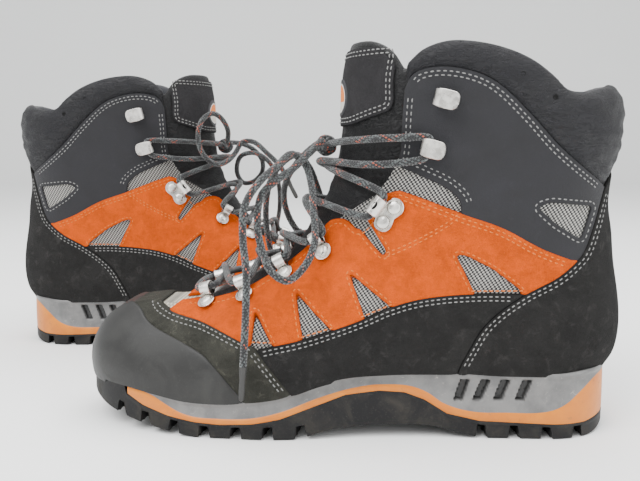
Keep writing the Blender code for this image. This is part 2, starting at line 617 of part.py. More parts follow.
def make_sole(boot):
    """Outsole with lugs, foam midsole, slotted frame, insole board and footbed."""
    floor = height(LUG_BOTTOM)
    outsole = layer(boot, "outsole", (SOLE_BACK, SOLE_FRONT), floor, height(OUTSOLE_TOP), sole_half, RUBBER_BLACK)
    cut_tread(boot, outsole, floor)
    gap = LAYER_GAP
    layer(boot, "midsole", (6, 282), height(OUTSOLE_TOP, gap), height(MIDSOLE_TOP), sole_half, MIDSOLE_FOAM)
    frame = layer(boot, "midsole_frame", (6, 282), height(MIDSOLE_TOP, gap), height(FEATHER), sole_half, FRAME_GREY)
    slots = []
    for top_x, low_x in FRAME_SLOTS:
        for side in (1, -1):
            near, far = side * (SOLE_HALF[1] - 5), side * BIG
            w = SLOT_WIDTH / 2
            face = [(low_x - w, SLOT_LOW), (low_x + w, SLOT_LOW), (top_x + w, SLOT_TOP), (top_x - w, SLOT_TOP)]
            slots.append([(x, near, z) for x, z in face] + [(x, far, z) for x, z in face])
    boolean(frame, boxes_cutter(boot, "frame_slots", slots), "DIFFERENCE")
    layer(boot, "insole_board", (13, 302), height(FEATHER, 1.0), height(FEATHER, 3.2), inner_half(6.2), BOARD)
    layer(boot, "footbed", (13, 301), height(FEATHER, 3.6), height(FOOTBED_TOP), inner_half(6.5), FOOTBED)


def rail(boot, outsole, floor, stations, side):
    """One lengthwise tread groove, following the centre line of the foot."""
    points, faces = [], []
    for x in stations:
        middle, top = np.interp(x, FOOT_X, CENTRE) + side * RAIL_Y, floor(x) + LUG_HEIGHT - 0.4
        points += [(x, middle + a, z) for a, z in ((-1.5, -5), (1.5, -5), (1.5, top), (-1.5, top))]
    for k in range(len(stations) - 1):
        faces += [(4 * k + a, 4 * k + (a + 1) % 4, 4 * k + 4 + (a + 1) % 4, 4 * k + 4 + a) for a in range(4)]
    last = len(points) - 4
    faces += [(3, 2, 1, 0), (last, last + 1, last + 2, last + 3)]
    boolean(outsole, boot.cutter("rail", points, faces), "DIFFERENCE")


def cut_tread(boot, outsole, floor):
    """Two lengthwise grooves, then side grooves that leave a row of lugs along each edge."""
    for start, end in (FORE_TREAD, HEEL_TREAD):
        for side in (1, -1):
            rail(boot, outsole, floor, np.linspace(start, end, 6), side)
    sides = []
    for places, skew in ((FORE_GROOVES, 6), (HEEL_GROOVES, -4)):
        for x in places:
            top, middle = floor(x) + LUG_HEIGHT, np.interp(x, FOOT_X, CENTRE)
            sides.append(groove(x, GROOVE_WIDTH, middle + RAIL_Y, BIG, skew, top))
            sides.append(groove(x + 4, GROOVE_WIDTH, middle - RAIL_Y, -BIG - 10, skew, top))
    boolean(outsole, boxes_cutter(boot, "side_grooves", sides), "DIFFERENCE")


def fitting_frame(x, z, half, along_x, along_z):
    """(origin, across, along, normal) at a rivet: along runs up the throat, across points into it."""
    point, normal = on_surface(x, z, half)
    ahead, _ = on_surface(x + along_x, z + along_z, half)
    along_axis = ahead - point
    along_axis -= normal * (along_axis @ normal)
    along_axis /= np.linalg.norm(along_axis)
    across = half * np.cross(normal, along_axis)
    return point, across, along_axis, normal


def to_local(frame, a, b, c):
    """Local millimetres from across, along and normal distances at a fitting."""
    origin, across, along_axis, normal = frame
    return origin + a * across + b * along_axis + c * normal


def strip(path, thickness):
    """The outline of a bent strip of sheet metal, from its centre line."""
    path = np.array(path, float)
    step = np.gradient(path, axis=0)
    side = np.stack([-step[:, 1], step[:, 0]], 1) / np.linalg.norm(step, axis=1)[:, None]
    return np.vstack([path + side * thickness / 2, (path - side * thickness / 2)[::-1]])


def arc(centre, radius, start_deg, end_deg, count):
    turn = np.radians(np.linspace(start_deg, end_deg, count))
    return [(centre[0] + radius * math.cos(t), centre[1] + radius * math.sin(t)) for t in turn]


def bent_sheet(boot, name, frame, outline, width):
    """A strip outline in the across-normal plane, extruded along the throat."""
    n = len(outline)
    points = [to_local(frame, a, b, c) for b in (-width / 2, width / 2) for a, c in outline]
    faces = [tuple(range(n)), tuple(range(2 * n - 1, n - 1, -1))]
    faces += [(k, n + k, n + (k + 1) % n, (k + 1) % n) for k in range(n)]
    return face_out(boot.mesh_object(name, points, faces, STEEL))


def rivet(boot, name, frame, a, b, low, high):
    """A rivet with a domed head, standing on a fitting."""
    rings = [(RIVET_R, low), (RIVET_R, high - 0.6), (2.6, high - 0.6), (1.6, high + 0.4)]
    sides = 6
    points = [
        to_local(frame, a + r * math.cos(t), b + r * math.sin(t), c)
        for r, c in rings
        for t in np.arange(sides) * math.tau / sides
    ]
    faces = [tuple(range(sides)), tuple(range(len(points) - 1, len(points) - 1 - sides, -1))]
    for k in range(len(rings) - 1):
        for s in range(sides):
            a0, a1 = k * sides + s, k * sides + (s + 1) % sides
            faces.append((a0, a0 + sides, a1 + sides, a1))
    return face_out(boot.mesh_object(name, points, faces, STEEL))


def towards(places, index):
    """Side-view direction of the row of fittings at one of them."""
    low, high = max(index - 1, 0), min(index + 1, len(places) - 1)
    return places[high][0] - places[low][0], places[high][1] - places[low][1]


def loop_frames(half):
    places = LOOP_RIVETS
    return [fitting_frame(x, z, half, *np.array(towards(places, k)) * 0.2) for k, (x, z) in enumerate(places)]


def hook_frames(half):
    return [fitting_frame(x, z, half, -1.2, 5) for x, z in HOOK_RIVETS]


def clamp_frame(half):
    (x0, z0), (x1, z1) = CLAMP_RIVETS
    return fitting_frame((x0 + x1) / 2, (z0 + z1) / 2, half, (x0 - x1) * 0.3, (z0 - z1) * 0.3)


def make_fittings(boot, half, side):
    """Clamp, row of lace loops and pair of hooks on one side of the throat."""
    plate_n = PLATE_UNDER + SHEET / 2
    frame = clamp_frame(half)
    plate = strip([(-4.2, plate_n), (0, plate_n), (3.6, plate_n)], SHEET)
    clamp = bent_sheet(boot, f"clamp_{side}", frame, plate, 15.5)
    path = [(1, plate_n + 0.1), (5, plate_n + 0.1), (7, plate_n + 0.1)]
    path += arc((7.5, plate_n + 0.1 + TUNNEL_R), TUNNEL_R, -70, 200, 7)
    boolean(clamp, bent_sheet(boot, "tunnel", frame, strip(path, SHEET), 9), "UNION")
    gap = np.hypot(*np.subtract(*CLAMP_RIVETS)) / 2
    for number, b in enumerate((gap, -gap)):
        boolean(clamp, rivet(boot, f"rivet_{number}", frame, 0, b, PANEL_INNER, plate_n + 1.0), "UNION")

    row = stay(boot, f"eyelet_row_{side}", LOOP_RIVETS, half)
    for number, frame in enumerate(loop_frames(half)):
        tongue_path = [(-3.6, plate_n), (0, plate_n), (2.4, plate_n)] + arc((LOOP_REACH, LOOP_HEIGHT), LOOP_RING_R, -80, 205, 6)
        boolean(row, bent_sheet(boot, "loop", frame, strip(tongue_path, SHEET), 2.8), "UNION")
        boolean(row, rivet(boot, "rivet", frame, -0.4, 0, STAY_OUTER - STAY_THICK / 2, plate_n + 1.0), "UNION")

    pair = stay(boot, f"hooks_{side}", HOOK_RIVETS, half)
    for frame in hook_frames(half):
        path = [(-4.5, plate_n), (0, plate_n), (4, plate_n)]
        path += arc((4.2, plate_n + HOOK_R), HOOK_R, -60, 90, 5) + [(1, plate_n + 2 * HOOK_R), (-4, plate_n + 2 * HOOK_R + 0.8)]
        boolean(pair, bent_sheet(boot, "hook", frame, strip(path, SHEET), 6.5), "UNION")
        boolean(pair, rivet(boot, "rivet", frame, 0, 0, STAY_OUTER - STAY_THICK / 2, plate_n + 1.0), "UNION")


def stay(boot, name, places, half):
    """The hidden strip behind the leather that a row of fittings is riveted to."""
    line = np.array(places, float)
    way = np.gradient(line, axis=0)
    way /= np.linalg.norm(way, axis=1)[:, None]
    line[0] -= way[0] * 4
    line[-1] += way[-1] * 4
    side = np.stack([-way[:, 1], way[:, 0]], 1) * 3.6
    whole = shell(boot, "stay", STAY_OUTER, STAY_THICK, False, STEEL)
    outline = [tuple(p) for p in np.vstack([line + side, (line - side)[::-1]])]
    strip_object = panel(boot, name, whole, outline, STEEL, half, 0)
    bpy.data.objects.remove(whole)
    return strip_object


def keep_off(line, clearance):
    """Pushes the points of a line out to at least this clearance from the surface of the upper."""
    out = []
    for point in line:
        spot, normal, _, away = SKIN.find_nearest(Vector(point))
        if (Vector(point) - spot).dot(normal) < 0:
            away = -away
        out.append(point if away >= clearance else np.array(spot + normal * clearance))
    out = np.array(out)
    for _ in range(3):
        out[1:-1] = (out[:-2] + 2 * out[1:-1] + out[2:]) / 4
    return out


def thin(line, tolerance):
    """Fewer points on a line, none of the dropped ones further off than the tolerance."""
    start, end = line[0], line[-1]
    way = (end - start) / max(np.linalg.norm(end - start), 1e-9)
    away = (line - start) - np.outer((line - start) @ way, way)
    off = np.linalg.norm(away, axis=1)
    worst = int(off.argmax())
    if len(line) < 3 or off[worst] < tolerance:
        return [start, end]
    return thin(line[: worst + 1], tolerance)[:-1] + thin(line[worst:], tolerance)


def tube(boot, name, route, radius, material, off_skin=0, sides=1):
    """A lace along a smooth curve through its route points, with fewer points where it runs straight."""
    keys = np.array(route, float)
    length = np.linalg.norm(np.diff(keys, axis=0), axis=1).sum()
    line = spline(keys, int(length))
    if off_skin:
        line = keep_off(line, off_skin)
    line = thin(line, THIN_BY)
    curve = bpy.data.curves.new(name, "CURVE")
    curve.dimensions, curve.bevel_depth, curve.bevel_resolution = "3D", radius * MM, sides
    curve.use_fill_caps = True
    path = curve.splines.new("POLY")
    path.points.add(len(line) - 1)
    for spot, point in zip(path.points, line):
        spot.co = (*boot.place(point), 1)
    curve.materials.append(material)
    obj = bpy.data.objects.new(f"{boot.name}_{name}", curve)
    PARTS.objects.link(obj)
    obj.parent = boot.empty
    return obj


def over_ridge(x, z, lift):
    """A point this far above the front ridge of the tongue, where the ridge is nearest to (x, z)."""
    k = int(np.argmin(np.hypot(FRONT[:, 0] - x, FRONT[:, 1] - z)))
    tangent = FRONT[k + 2] - FRONT[k - 2]
    normal = Vector((tangent[1], 0, -tangent[0])).normalized()
    ridge = Vector((FRONT[k, 0], float(np.interp(FRONT[k, 0], FOOT_X, CENTRE)), FRONT[k, 1]))
    hit = SKIN.ray_cast(ridge + 20 * normal, -normal)[0]
    return np.array(hit + lift * normal)


def held_half(half, under):
    """Route of one half of the lace, from the toe up: under and over by turns where the halves cross."""
    loops = {side: loop_frames(side) for side in (1, -1)}
    route, side = [], half
    for k in range(len(LOOP_RIVETS)):
        frame = loops[side][k]
        route += [to_local(frame, LOOP_REACH + a, b, LOOP_HEIGHT) for a, b in LOOP_GUIDES]
        if k + 1 < len(LOOP_RIVETS):
            route.append(crossing(frame, loops[-side][k + 1], under == (k % 2 == 0)))
        side = -side
    # The clamp is on the side that the last crossing leads to.
    last, clamp = loops[-side][-1], clamp_frame(side)
    tunnel = [to_local(clamp, a, b, PLATE_UNDER + SHEET / 2 + TUNNEL_R) for a, b in TUNNEL_GUIDES]
    route += [crossing(last, clamp, under)] + tunnel
    hook = hook_frames(-side)[0]
    level = PLATE_UNDER + SHEET / 2 + HOOK_R
    route.append(over_ridge(163, 151, 4.4 if under else 8.8))
    for share in (0.35, 0.7):
        a, b = np.array((160, 151)), np.array((116, 154))
        spot, normal = on_surface(*(a + (b - a) * share), -side)
        route.append(spot + normal * 4.6)
    route += [to_local(hook, 4.0, b, level) for b in (-5, -1.5, 1.5, 5)]
    for share in (0.3, 0.65):
        a, b = np.array((113, 168)), np.array((157, 165))
        spot, normal = on_surface(*(a + (b - a) * share), -side)
        route.append(spot + normal * 4.8)
    route.append(KNOT + np.array((-2, -side * 6.5, 1)))
    return route


def crossing(start, end, low):
    """The point over the tongue, midway between two fittings, that a strand passes under or over."""
    middle = (start[0] + end[0]) / 2
    return over_ridge(middle[0], middle[2], 4.2 if low else 8.6)


def make_laces(boot, routes):
    """The lace as laced up, then the bow: a free ear and tail on each side of the knot."""
    first, second = held_half(1, True), held_half(-1, False)
    bar = over_ridge(*BAR, 4.4)
    tube(boot, "lace_held", first[::-1] + [bar] + second, LACE_R, LACE, LACE_OFF_SKIN)
    for side, route in routes.items():
        tube(boot, f"lace_free_{side}", route, LACE_R, LACE)
        tip = np.array(route[-1], float)
        way = tip - np.array(route[-2], float)
        way /= np.linalg.norm(way)
        points, faces = rod(tip + way * 0.4, tip + way * AGLET_LENGTH, AGLET_R)
        face_out(boot.mesh_object(f"aglet_{side}", points, faces, AGLET))


for boot_name, spec in BOOTS.items():
    the_boot = Boot(boot_name, **spec)
    make_sole(the_boot)
    make_upper(the_boot)
    for half_sign, side_name in ((1, "lateral"), (-1, "medial")):
        make_fittings(the_boot, half_sign, side_name)
    make_laces(the_boot, BOWS[boot_name])
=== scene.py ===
"""The looks of a pair of mountaineering boots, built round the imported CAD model.

A boot is drawn once, in millimetres, in its own frame: x from the heel to the toe, y towards the
outer (lateral) side and z up from the floor, and the right boot is the left one mirrored. The upper
is the CAD model's surface on a fine grid. Each leather panel is a region of that grid, cut along a
smooth outline and thickened with a rounded edge.
"""

import math

import bmesh
import bpy
import numpy as np
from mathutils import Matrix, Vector, noise
from mathutils.bvhtree import BVHTree


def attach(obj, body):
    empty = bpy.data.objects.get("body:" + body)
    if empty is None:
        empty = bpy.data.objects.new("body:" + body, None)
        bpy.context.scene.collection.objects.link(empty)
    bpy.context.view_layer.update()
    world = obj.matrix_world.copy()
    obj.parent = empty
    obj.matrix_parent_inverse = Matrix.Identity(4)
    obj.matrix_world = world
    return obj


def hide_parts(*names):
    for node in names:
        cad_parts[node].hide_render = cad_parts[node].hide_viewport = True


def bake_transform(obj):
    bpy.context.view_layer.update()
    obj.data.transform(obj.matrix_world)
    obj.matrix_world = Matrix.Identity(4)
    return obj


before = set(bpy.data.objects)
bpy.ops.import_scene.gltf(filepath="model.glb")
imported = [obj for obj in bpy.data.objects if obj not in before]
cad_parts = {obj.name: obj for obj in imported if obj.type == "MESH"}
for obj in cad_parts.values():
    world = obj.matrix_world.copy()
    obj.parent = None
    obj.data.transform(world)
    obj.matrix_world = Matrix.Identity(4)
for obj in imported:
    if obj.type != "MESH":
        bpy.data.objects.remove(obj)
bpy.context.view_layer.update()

MM = 0.001
BIG = 60
BOOTS = {
    "left": {"heel_mm": (210.25, -112.15), "heading_deg": 177.0, "flip": 1},
    "right": {"heel_mm": (-210.25, 104.85), "heading_deg": 0.0, "flip": -1},
}
SIDES = (("lateral", 1), ("medial", -1))

# The camera of the photograph, in metres and radians.
CAMERA_PLACE = (0.03825, -0.57915, 0.162)
CAMERA_DOWN = 0.1163
CAMERA_LENS, CAMERA_SENSOR = 45, 36

# Side silhouettes of the upper, (x, z) in mm, as in the CAD model.
FRONT_RIDGE = [
    (300, 6), (309, 20), (312, 32), (311, 43), (306, 54), (298, 63.5), (287, 70), (274, 72.8),
    (258, 73.6), (243, 75.5), (226, 82), (207, 91), (194, 98.5), (184, 109), (176, 121), (169, 134),
    (163, 152), (160, 168), (158.5, 185), (158, 202), (156, 214), (154, 225), (151, 240),
]
BACK_RIDGE = [
    (12, 20), (7, 34), (1, 44), (-1.7, 56), (-1.7, 68), (2.6, 96), (4.6, 113), (7.2, 130),
    (5.8, 148), (4, 158), (2.5, 174), (2.4, 184), (4.2, 192), (8.8, 200), (13, 214),
]
FOOT_X = [0, 25, 60, 100, 140, 175, 205, 235, 265, 290, 315]
LATERAL = [35, 36, 37, 38, 42.5, 48, 51, 50, 46, 43, 42]
MEDIAL = [35, 36, 36.5, 36.5, 39, 44, 49.5, 51, 48, 44, 42]
CENTRE = [0, 0, 0, 0, -0.5, -1.5, -3, -5, -7, -8.5, -9]
SHAFT_Z = [60, 100, 130, 160, 200, 240]
SHAFT_HALF = [37, 38.5, 40, 42, 45, 46]
ROUND_FRONT_LOW, ROUND_FRONT_HIGH, ROUND_BACK = 46, 60, 42

# Heights of the sole layers along x.
FEATHER = [
    (0, 38), (17, 38), (39, 37), (66, 37), (92, 38), (119, 38.5), (137, 38), (156, 36.5), (170, 33),
    (186, 27), (213, 22), (233, 21), (248, 21.5), (263, 24), (284, 27), (315, 28),
]
MIDSOLE_TOP = [
    (5, 36), (15, 33), (24, 27), (33, 20), (43, 16), (65, 15), (86, 15.5), (101, 20), (110, 26),
    (119, 29.5), (137, 30.5), (153, 28.5), (170, 24), (192, 16), (211, 12), (233, 11.5), (248, 13.5),
    (260, 19), (267, 22.5), (284, 25.5),
]
OUTSOLE_TOP = [
    (5, 11), (21, 8.5), (39, 8.5), (56, 9), (81, 10), (99, 14), (112, 22), (123, 26), (137, 27),
    (156, 25), (170, 20), (192, 12), (208, 9), (226, 8), (241, 9), (256, 11), (272, 15.5),
    (283.2, 21), (284.4, 27), (312, 28),
]
LUG_BOTTOM = [
    (5, 4), (14, 0.8), (20, 0), (76, 0), (88, 1.5), (98, 4), (107, 6.5), (140, 7), (160, 5.5),
    (170, 3.5), (178, 1.2), (186, 0), (238, 0), (246, 0.7), (256, 2), (266, 3.6), (276, 5.4),
    (286, 7.4), (300, 11), (312, 16),
]
SOLE_X = [0, 40, 100, 140, 175, 205, 235, 265, 290, 315]
SOLE_HALF = [39, 39, 39.5, 42, 48, 52, 52, 48, 46, 45]
SOLE_BACK, SOLE_FRONT = 5, 312
MIDSOLE_SPAN = (6, 282)
SOLE_HEEL_ROUND, SOLE_TOE_ROUND = 38, 58
RAIL_Y = 9
FORE_TREAD, HEEL_TREAD = (168, 300), (18, 94)
FORE_GROOVES = [176, 194, 212, 230, 248, 266, 283]
HEEL_GROOVES = [28, 46, 64, 82]
GROOVE_WIDTH = 4.8
FRAME_SLOTS = [(89, 93), (77.5, 82.5), (66.5, 71), (54.5, 59)]
SLOT_LOW, SLOT_TOP, SLOT_WIDTH, SLOT_DEPTH = 21, 33.5, 5.6, 4.2

# Outlines of the panels in side view. A curve shared by two panels is written once.
RAND_EDGE = [
    (287, 76), (287, 70), (278, 66.5), (272, 61.5), (266, 58), (255, 54), (244, 50), (235, 46),
    (228, 40), (218, 29), (208, 17),
]
VAMP_EDGE = [(270, 80), (269, 72), (259, 66.5), (235, 62), (214, 55), (205, 51)]
VAMP_SEAM = [(205, 51), (199, 43), (186, 26), (180, 18)]
SIDE_TOP = [
    (205, 51), (197, 53), (180, 57), (164, 62), (147, 68), (133, 74), (115, 79), (84, 82), (57, 82),
]
HEEL_EDGE = [
    (-12, 149), (6, 149), (14, 140), (21, 119), (27, 104), (31, 99.5), (41, 91), (57, 82), (71, 72),
    (80, 63), (87, 51), (93, 39), (97, 25),
]
SADDLE_TOP = [(31, 99.5), (50, 107), (71, 118), (94, 126), (115, 134), (127, 138)]
SADDLE_FRONT = [
    (134, 136), (141, 128), (144, 120), (149, 116), (156, 121), (164, 120), (171, 111.5),
    (181, 101.5), (194, 91.5), (214, 80), (235, 73), (252, 71), (259, 66.5),
]
CUFF_BOTTOM = [(127, 152), (113, 146), (101, 140), (94, 133), (93, 126)]
CUFF_FRONT = [(127, 152), (125.5, 163), (125, 178), (124, 193)]
CUFF_TOP = [
    (124, 193), (120, 200), (112, 203), (99, 203), (84, 199), (74, 193), (59, 179), (43, 162),
    (31, 152), (18, 143), (14, 140),
]
COLLAR_TOP = [
    (-12, 197), (9, 197), (20, 193), (31, 191), (39, 192), (47, 199), (60, 208), (75, 214),
    (91, 217), (104, 217), (116, 213), (124, 206),
]
THROAT = [
    (247, 90), (247, 75), (236, 75.5), (215, 82.5), (195, 94), (182, 104), (172, 114), (163, 124),
    (152, 132), (142, 139), (134, 146), (129, 154), (126.5, 165), (126, 180), (125, 195), (125, 240),
]
TONGUE_TOP = [(126, 204), (133, 214), (143, 220), (156, 222), (400, 222)]
CUFF_WINDOW = [(53, 130), (46, 132.5), (22, 130), (28.5, 112), (43, 121)]
SADDLE_WINDOWS = [
    [(96, 104), (90, 103), (76, 96), (60, 84), (60, 78), (83, 78)],
    [(154, 93.5), (144.5, 66), (128, 72)],
    [(183.5, 82), (178.5, 53), (160.5, 59)],
    [(206, 71), (208, 50), (194.5, 51)],
]
SADDLE_SLIT = [(150, 119), (144, 122), (133.5, 105), (135.5, 102.5)]

# Heights of the layers above the upper's surface: underside, outer face.
RAND = (0.2, 2.2)
OVER = (0.2, 2.0)
UNDER = (0.2, 1.2)
SADDLE_LAYER = (0.2, 1.6)
TEXTILE = (-2.7, -0.3)
LINING = (-5.6, -3.6)
COLLAR_LAYER = (-6.2, 1.9)
TONGUE_LAYER = (-5.3, -0.6)
TUCK = 0.6

# Lacing hardware: rivet places in side view, from the toe up.
LOOP_RIVETS = [(236, 71.5), (213, 77.5), (190, 90), (168, 104)]
CLAMP_RIVETS = [(129, 129), (135, 121)]
HOOK_RIVETS = [(108, 161), (102, 187)]
PLATE_UNDER, SHEET = 2.9, 1.0
CAD_PLATE_UNDER = 3.2
LOOP_REACH, LOOP_RING_R, TUNNEL_R, HOOK_R = 5.4, 3.9, 3.6, 3.1
LOOP_HEIGHT = CAD_PLATE_UNDER + SHEET / 2 + LOOP_RING_R
LACE_R, LACE_OFF_SKIN = 2.1, 4.9
AGLET_LENGTH = 17
LOOP_GUIDES = [(0.6, -5), (0.6, -1.5), (0.6, 1.5), (0.4, 5)]
TUNNEL_GUIDES = [(7.5, -7), (7.5, -3.5), (7.5, 0), (7.5, 3.5), (7.5, 7)]
BAR = (243, 76)
KNOT = np.array((168.5, 0, 163))

# The bow of each boot: from the knot round an ear, back to the knot, then down the tail.
BOWS = {
    "left": {
        "lateral": [
            (170, 8, 166), (178, 17, 158), (186, 26, 150), (194, 34, 144), (202, 41, 136), (204, 45, 120),
            (201, 48, 106), (196, 53, 96), (187, 55, 91), (178, 50, 98), (173, 42, 110), (174, 32, 125),
            (176, 22, 141), (180, 15, 152), (187, 22, 158), (195, 33, 151), (203, 43, 143), (210, 49, 131),
            (211, 52, 114), (209, 55, 97), (209, 56, 80), (210, 56, 60), (211, 57, 42),
        ],
        "medial": [
            (171, -8, 166), (180, -18, 160), (189, -28, 151), (196, -37, 140), (198, -45, 127),
            (194, -51, 113), (187, -54, 104), (179, -52, 103), (174, -46, 113), (173, -37, 126),
            (176, -26, 139), (180, -17, 150), (187, -22, 157), (198, -34, 152), (207, -45, 140),
            (211, -54, 124), (211, -58, 106), (208, -60, 88), (206, -61, 70),
        ],
    },
    "right": {
        "lateral": [
            (171, 8, 166), (172, 14, 176), (167, 21, 186), (161, 27, 189), (154, 33, 184), (151, 37, 174),
            (152, 38, 162), (158, 36, 152), (166, 30, 148), (173, 22, 151), (178, 15, 157), (184, 14, 166),
            (194, 18, 166), (205, 22, 157), (216, 24, 146), (222, 25, 135),
        ],
        "medial": [
            (171, -8, 166), (180, -16, 165), (190, -24, 160), (197, -32, 150), (196, -38, 139),
            (188, -40, 131), (180, -38, 130), (175, -31, 138), (176, -22, 148), (181, -14, 155),
            (190, -18, 157), (200, -30, 152), (208, -42, 140), (211, -52, 125), (211, -57, 106),
            (208, -60, 88), (206, -61, 70),
        ],
    },
}


# ---------------------------------------------------------------- curves and tables


def spline(keys, count):
    """A smooth curve through 2D or 3D keys, resampled to evenly spaced points."""
    pts = np.array(keys, float)
    ends = np.vstack([2 * pts[0] - pts[1], pts, 2 * pts[-1] - pts[-2]])
    out = []
    for p0, p1, p2, p3 in zip(ends, ends[1:], ends[2:], ends[3:]):
        steps = [np.linalg.norm(b - a) ** 0.5 for a, b in ((p0, p1), (p1, p2), (p2, p3))]
        knots = np.cumsum([0] + steps)
        t = np.linspace(knots[1], knots[2], 16, endpoint=False)[:, None]
        a1 = ((knots[1] - t) * p0 + t * p1) / knots[1]
        a2 = ((knots[2] - t) * p1 + (t - knots[1]) * p2) / (knots[2] - knots[1])
        a3 = ((knots[3] - t) * p2 + (t - knots[2]) * p3) / (knots[3] - knots[2])
        b1 = ((knots[2] - t) * a1 + t * a2) / knots[2]
        b2 = ((knots[3] - t) * a2 + (t - knots[1]) * a3) / (knots[3] - knots[1])
        out.append(((knots[2] - t) * b1 + (t - knots[1]) * b2) / (knots[2] - knots[1]))
    return resample(np.vstack(out + [pts[-1:]]), count)


def resample(line, count):
    arc = np.r_[0, np.cumsum(np.linalg.norm(np.diff(line, axis=0), axis=1))]
    even = np.linspace(0, arc[-1], count)
    return np.stack([np.interp(even, arc, line[:, k]) for k in range(line.shape[1])], 1)


def curved(keys, spacing=2.5):
    """A smooth curve through the keys of an outline, as a list of points."""
    length = np.linalg.norm(np.diff(np.array(keys, float), axis=0), axis=1).sum()
    return [tuple(p) for p in spline(keys, max(int(length / spacing), 3))]


def rounded(outline, radius):
    """A closed outline with each corner turned into a short curve."""
    line = np.array(outline, float)
    out = []
    for before, corner, after in zip(np.roll(line, 1, 0), line, np.roll(line, -1, 0)):
        ends = []
        for other in (before, after):
            away = other - corner
            ends.append(corner + away * min(radius / np.linalg.norm(away), 0.45))
        for t in np.linspace(0, 1, 6):
            out.append(tuple((1 - t) ** 2 * ends[0] + 2 * t * (1 - t) * corner + t**2 * ends[1]))
    return out


def smooth(x, xs, ys):
    """A smooth curve through the values of a table, flat where the table turns back."""
    x, xs, ys = np.asarray(x, float), np.asarray(xs, float), np.asarray(ys, float)
    slopes = np.diff(ys) / np.diff(xs)
    middle = np.where(slopes[:-1] * slopes[1:] > 0, (slopes[:-1] + slopes[1:]) / 2, 0)
    tangents = np.r_[slopes[0], middle, slopes[-1]]
    k = np.clip(np.searchsorted(xs, x) - 1, 0, len(xs) - 2)
    h = xs[k + 1] - xs[k]
    t = np.clip((x - xs[k]) / h, 0, 1)
    rise = t * t * (3 - 2 * t)
    value = ys[k] + (ys[k + 1] - ys[k]) * rise
    return value + h * t * (1 - t) * (tangents[k] * (1 - t) - tangents[k + 1] * t)


def table(keys):
    xs, ys = zip(*keys)
    return lambda x: smooth(x, xs, ys)


feather, midsole_top, lug_bottom = table(FEATHER), table(MIDSOLE_TOP), table(LUG_BOTTOM)


def outsole_top(x):
    return np.interp(x, *zip(*OUTSOLE_TOP))


def centre(x):
    return smooth(x, FOOT_X, CENTRE)


def ease(t):
    t = np.clip(t, 0, 1)
    return t * t * (3 - 2 * t)


def dome(t):
    """0 at an edge, 1 from t = 1 on, with the round shoulder of a quarter circle."""
    return np.sqrt(np.clip(1 - (1 - np.clip(t, 0, 1)) ** 2, 0, 1))


# ---------------------------------------------------------------- the surface of the upper

FRONT = spline(FRONT_RIDGE, 260)
BACK = spline(BACK_RIDGE, 200)


def nearest(points, line):
    """Distance from each 2D point to a polyline."""
    start, step = line[:-1], np.diff(line, axis=0)
    out = np.empty(len(points))
    for low in range(0, len(points), 3000):
        away = points[low : low + 3000, None] - start[None]
        t = np.clip((away * step).sum(2) / (step**2).sum(1), 0, 1)
        out[low : low + 3000] = np.linalg.norm(away - t[..., None] * step, axis=2).min(1)
    return out


def half_width(points, side):
    """Half-width of the upper at side-view points (x, z), on the side of each sign."""
    x, z = points[:, 0], points[:, 1]
    foot = np.where(side > 0, smooth(x, FOOT_X, LATERAL), smooth(x, FOOT_X, MEDIAL))
    width = foot + (smooth(z, SHAFT_Z, SHAFT_HALF) - foot) * ease((z - 70) / 60)
    round_front = ROUND_FRONT_LOW + (ROUND_FRONT_HIGH - ROUND_FRONT_LOW) * ease((z - 90) / 60)
    front, back = nearest(points, FRONT) / round_front, nearest(points, BACK) / ROUND_BACK
    return width * dome(front) * dome(back)


def ridge_x(line, z):
    return np.interp(z, line[:, 1], line[:, 0])


def arc_at(line, x, z):
    return np.argmin(np.hypot(line[:, 0] - x, line[:, 1] - z)) / (len(line) - 1)


LOOP_V = [0, 0.2, 0.36, 0.6, 0.8, 1]
LOOP_FRONT = [
    arc_at(FRONT, *p) for p in ((311, 28), (287, 70), (243, 75.5), (184, 109), (160, 168), (151, 240))
]
LOOP_BACK = [arc_at(BACK, *p) for p in ((4.6, 38), (-1.7, 60), (0, 80), (5, 112), (6.5, 148), (13, 214))]
BELOW_FEATHER = 5


def along(line, fraction):
    index = np.asarray(fraction) * (len(line) - 1)
    return np.stack([np.interp(index, np.arange(len(line)), line[:, k]) for k in (0, 1)], -1)


def base_point(v, phi):
    """Points of the upper's surface: v climbs to the topline, phi runs round from the front ridge."""
    front = along(FRONT, np.interp(v, LOOP_V, LOOP_FRONT))
    back = along(BACK, np.interp(v, LOOP_V, LOOP_BACK))
    share = (1 + np.cos(phi)) / 2
    side = back + (front - back) * share[:, None]
    straight = 38 + (28 - 38) * share
    shift = (feather(side[:, 0]) - BELOW_FEATHER - straight) * (1 - v) ** 3
    side[:, 1] += shift
    low, high = ridge_x(BACK, side[:, 1]), ridge_x(FRONT, side[:, 1])
    side[:, 0] += (1 - share) ** 4 * (low - ridge_x(BACK, side[:, 1] - shift))
    side[:, 0] = np.clip(side[:, 0], low, high)
    sign = np.where(np.sin(phi) >= 0, 1, -1)
    width = np.where(np.abs(np.sin(phi)) < 1e-9, 0, half_width(side, sign))
    return np.stack([side[:, 0], centre(side[:, 0]) + sign * width, side[:, 1]], 1)


AROUND, UP = 480, 150


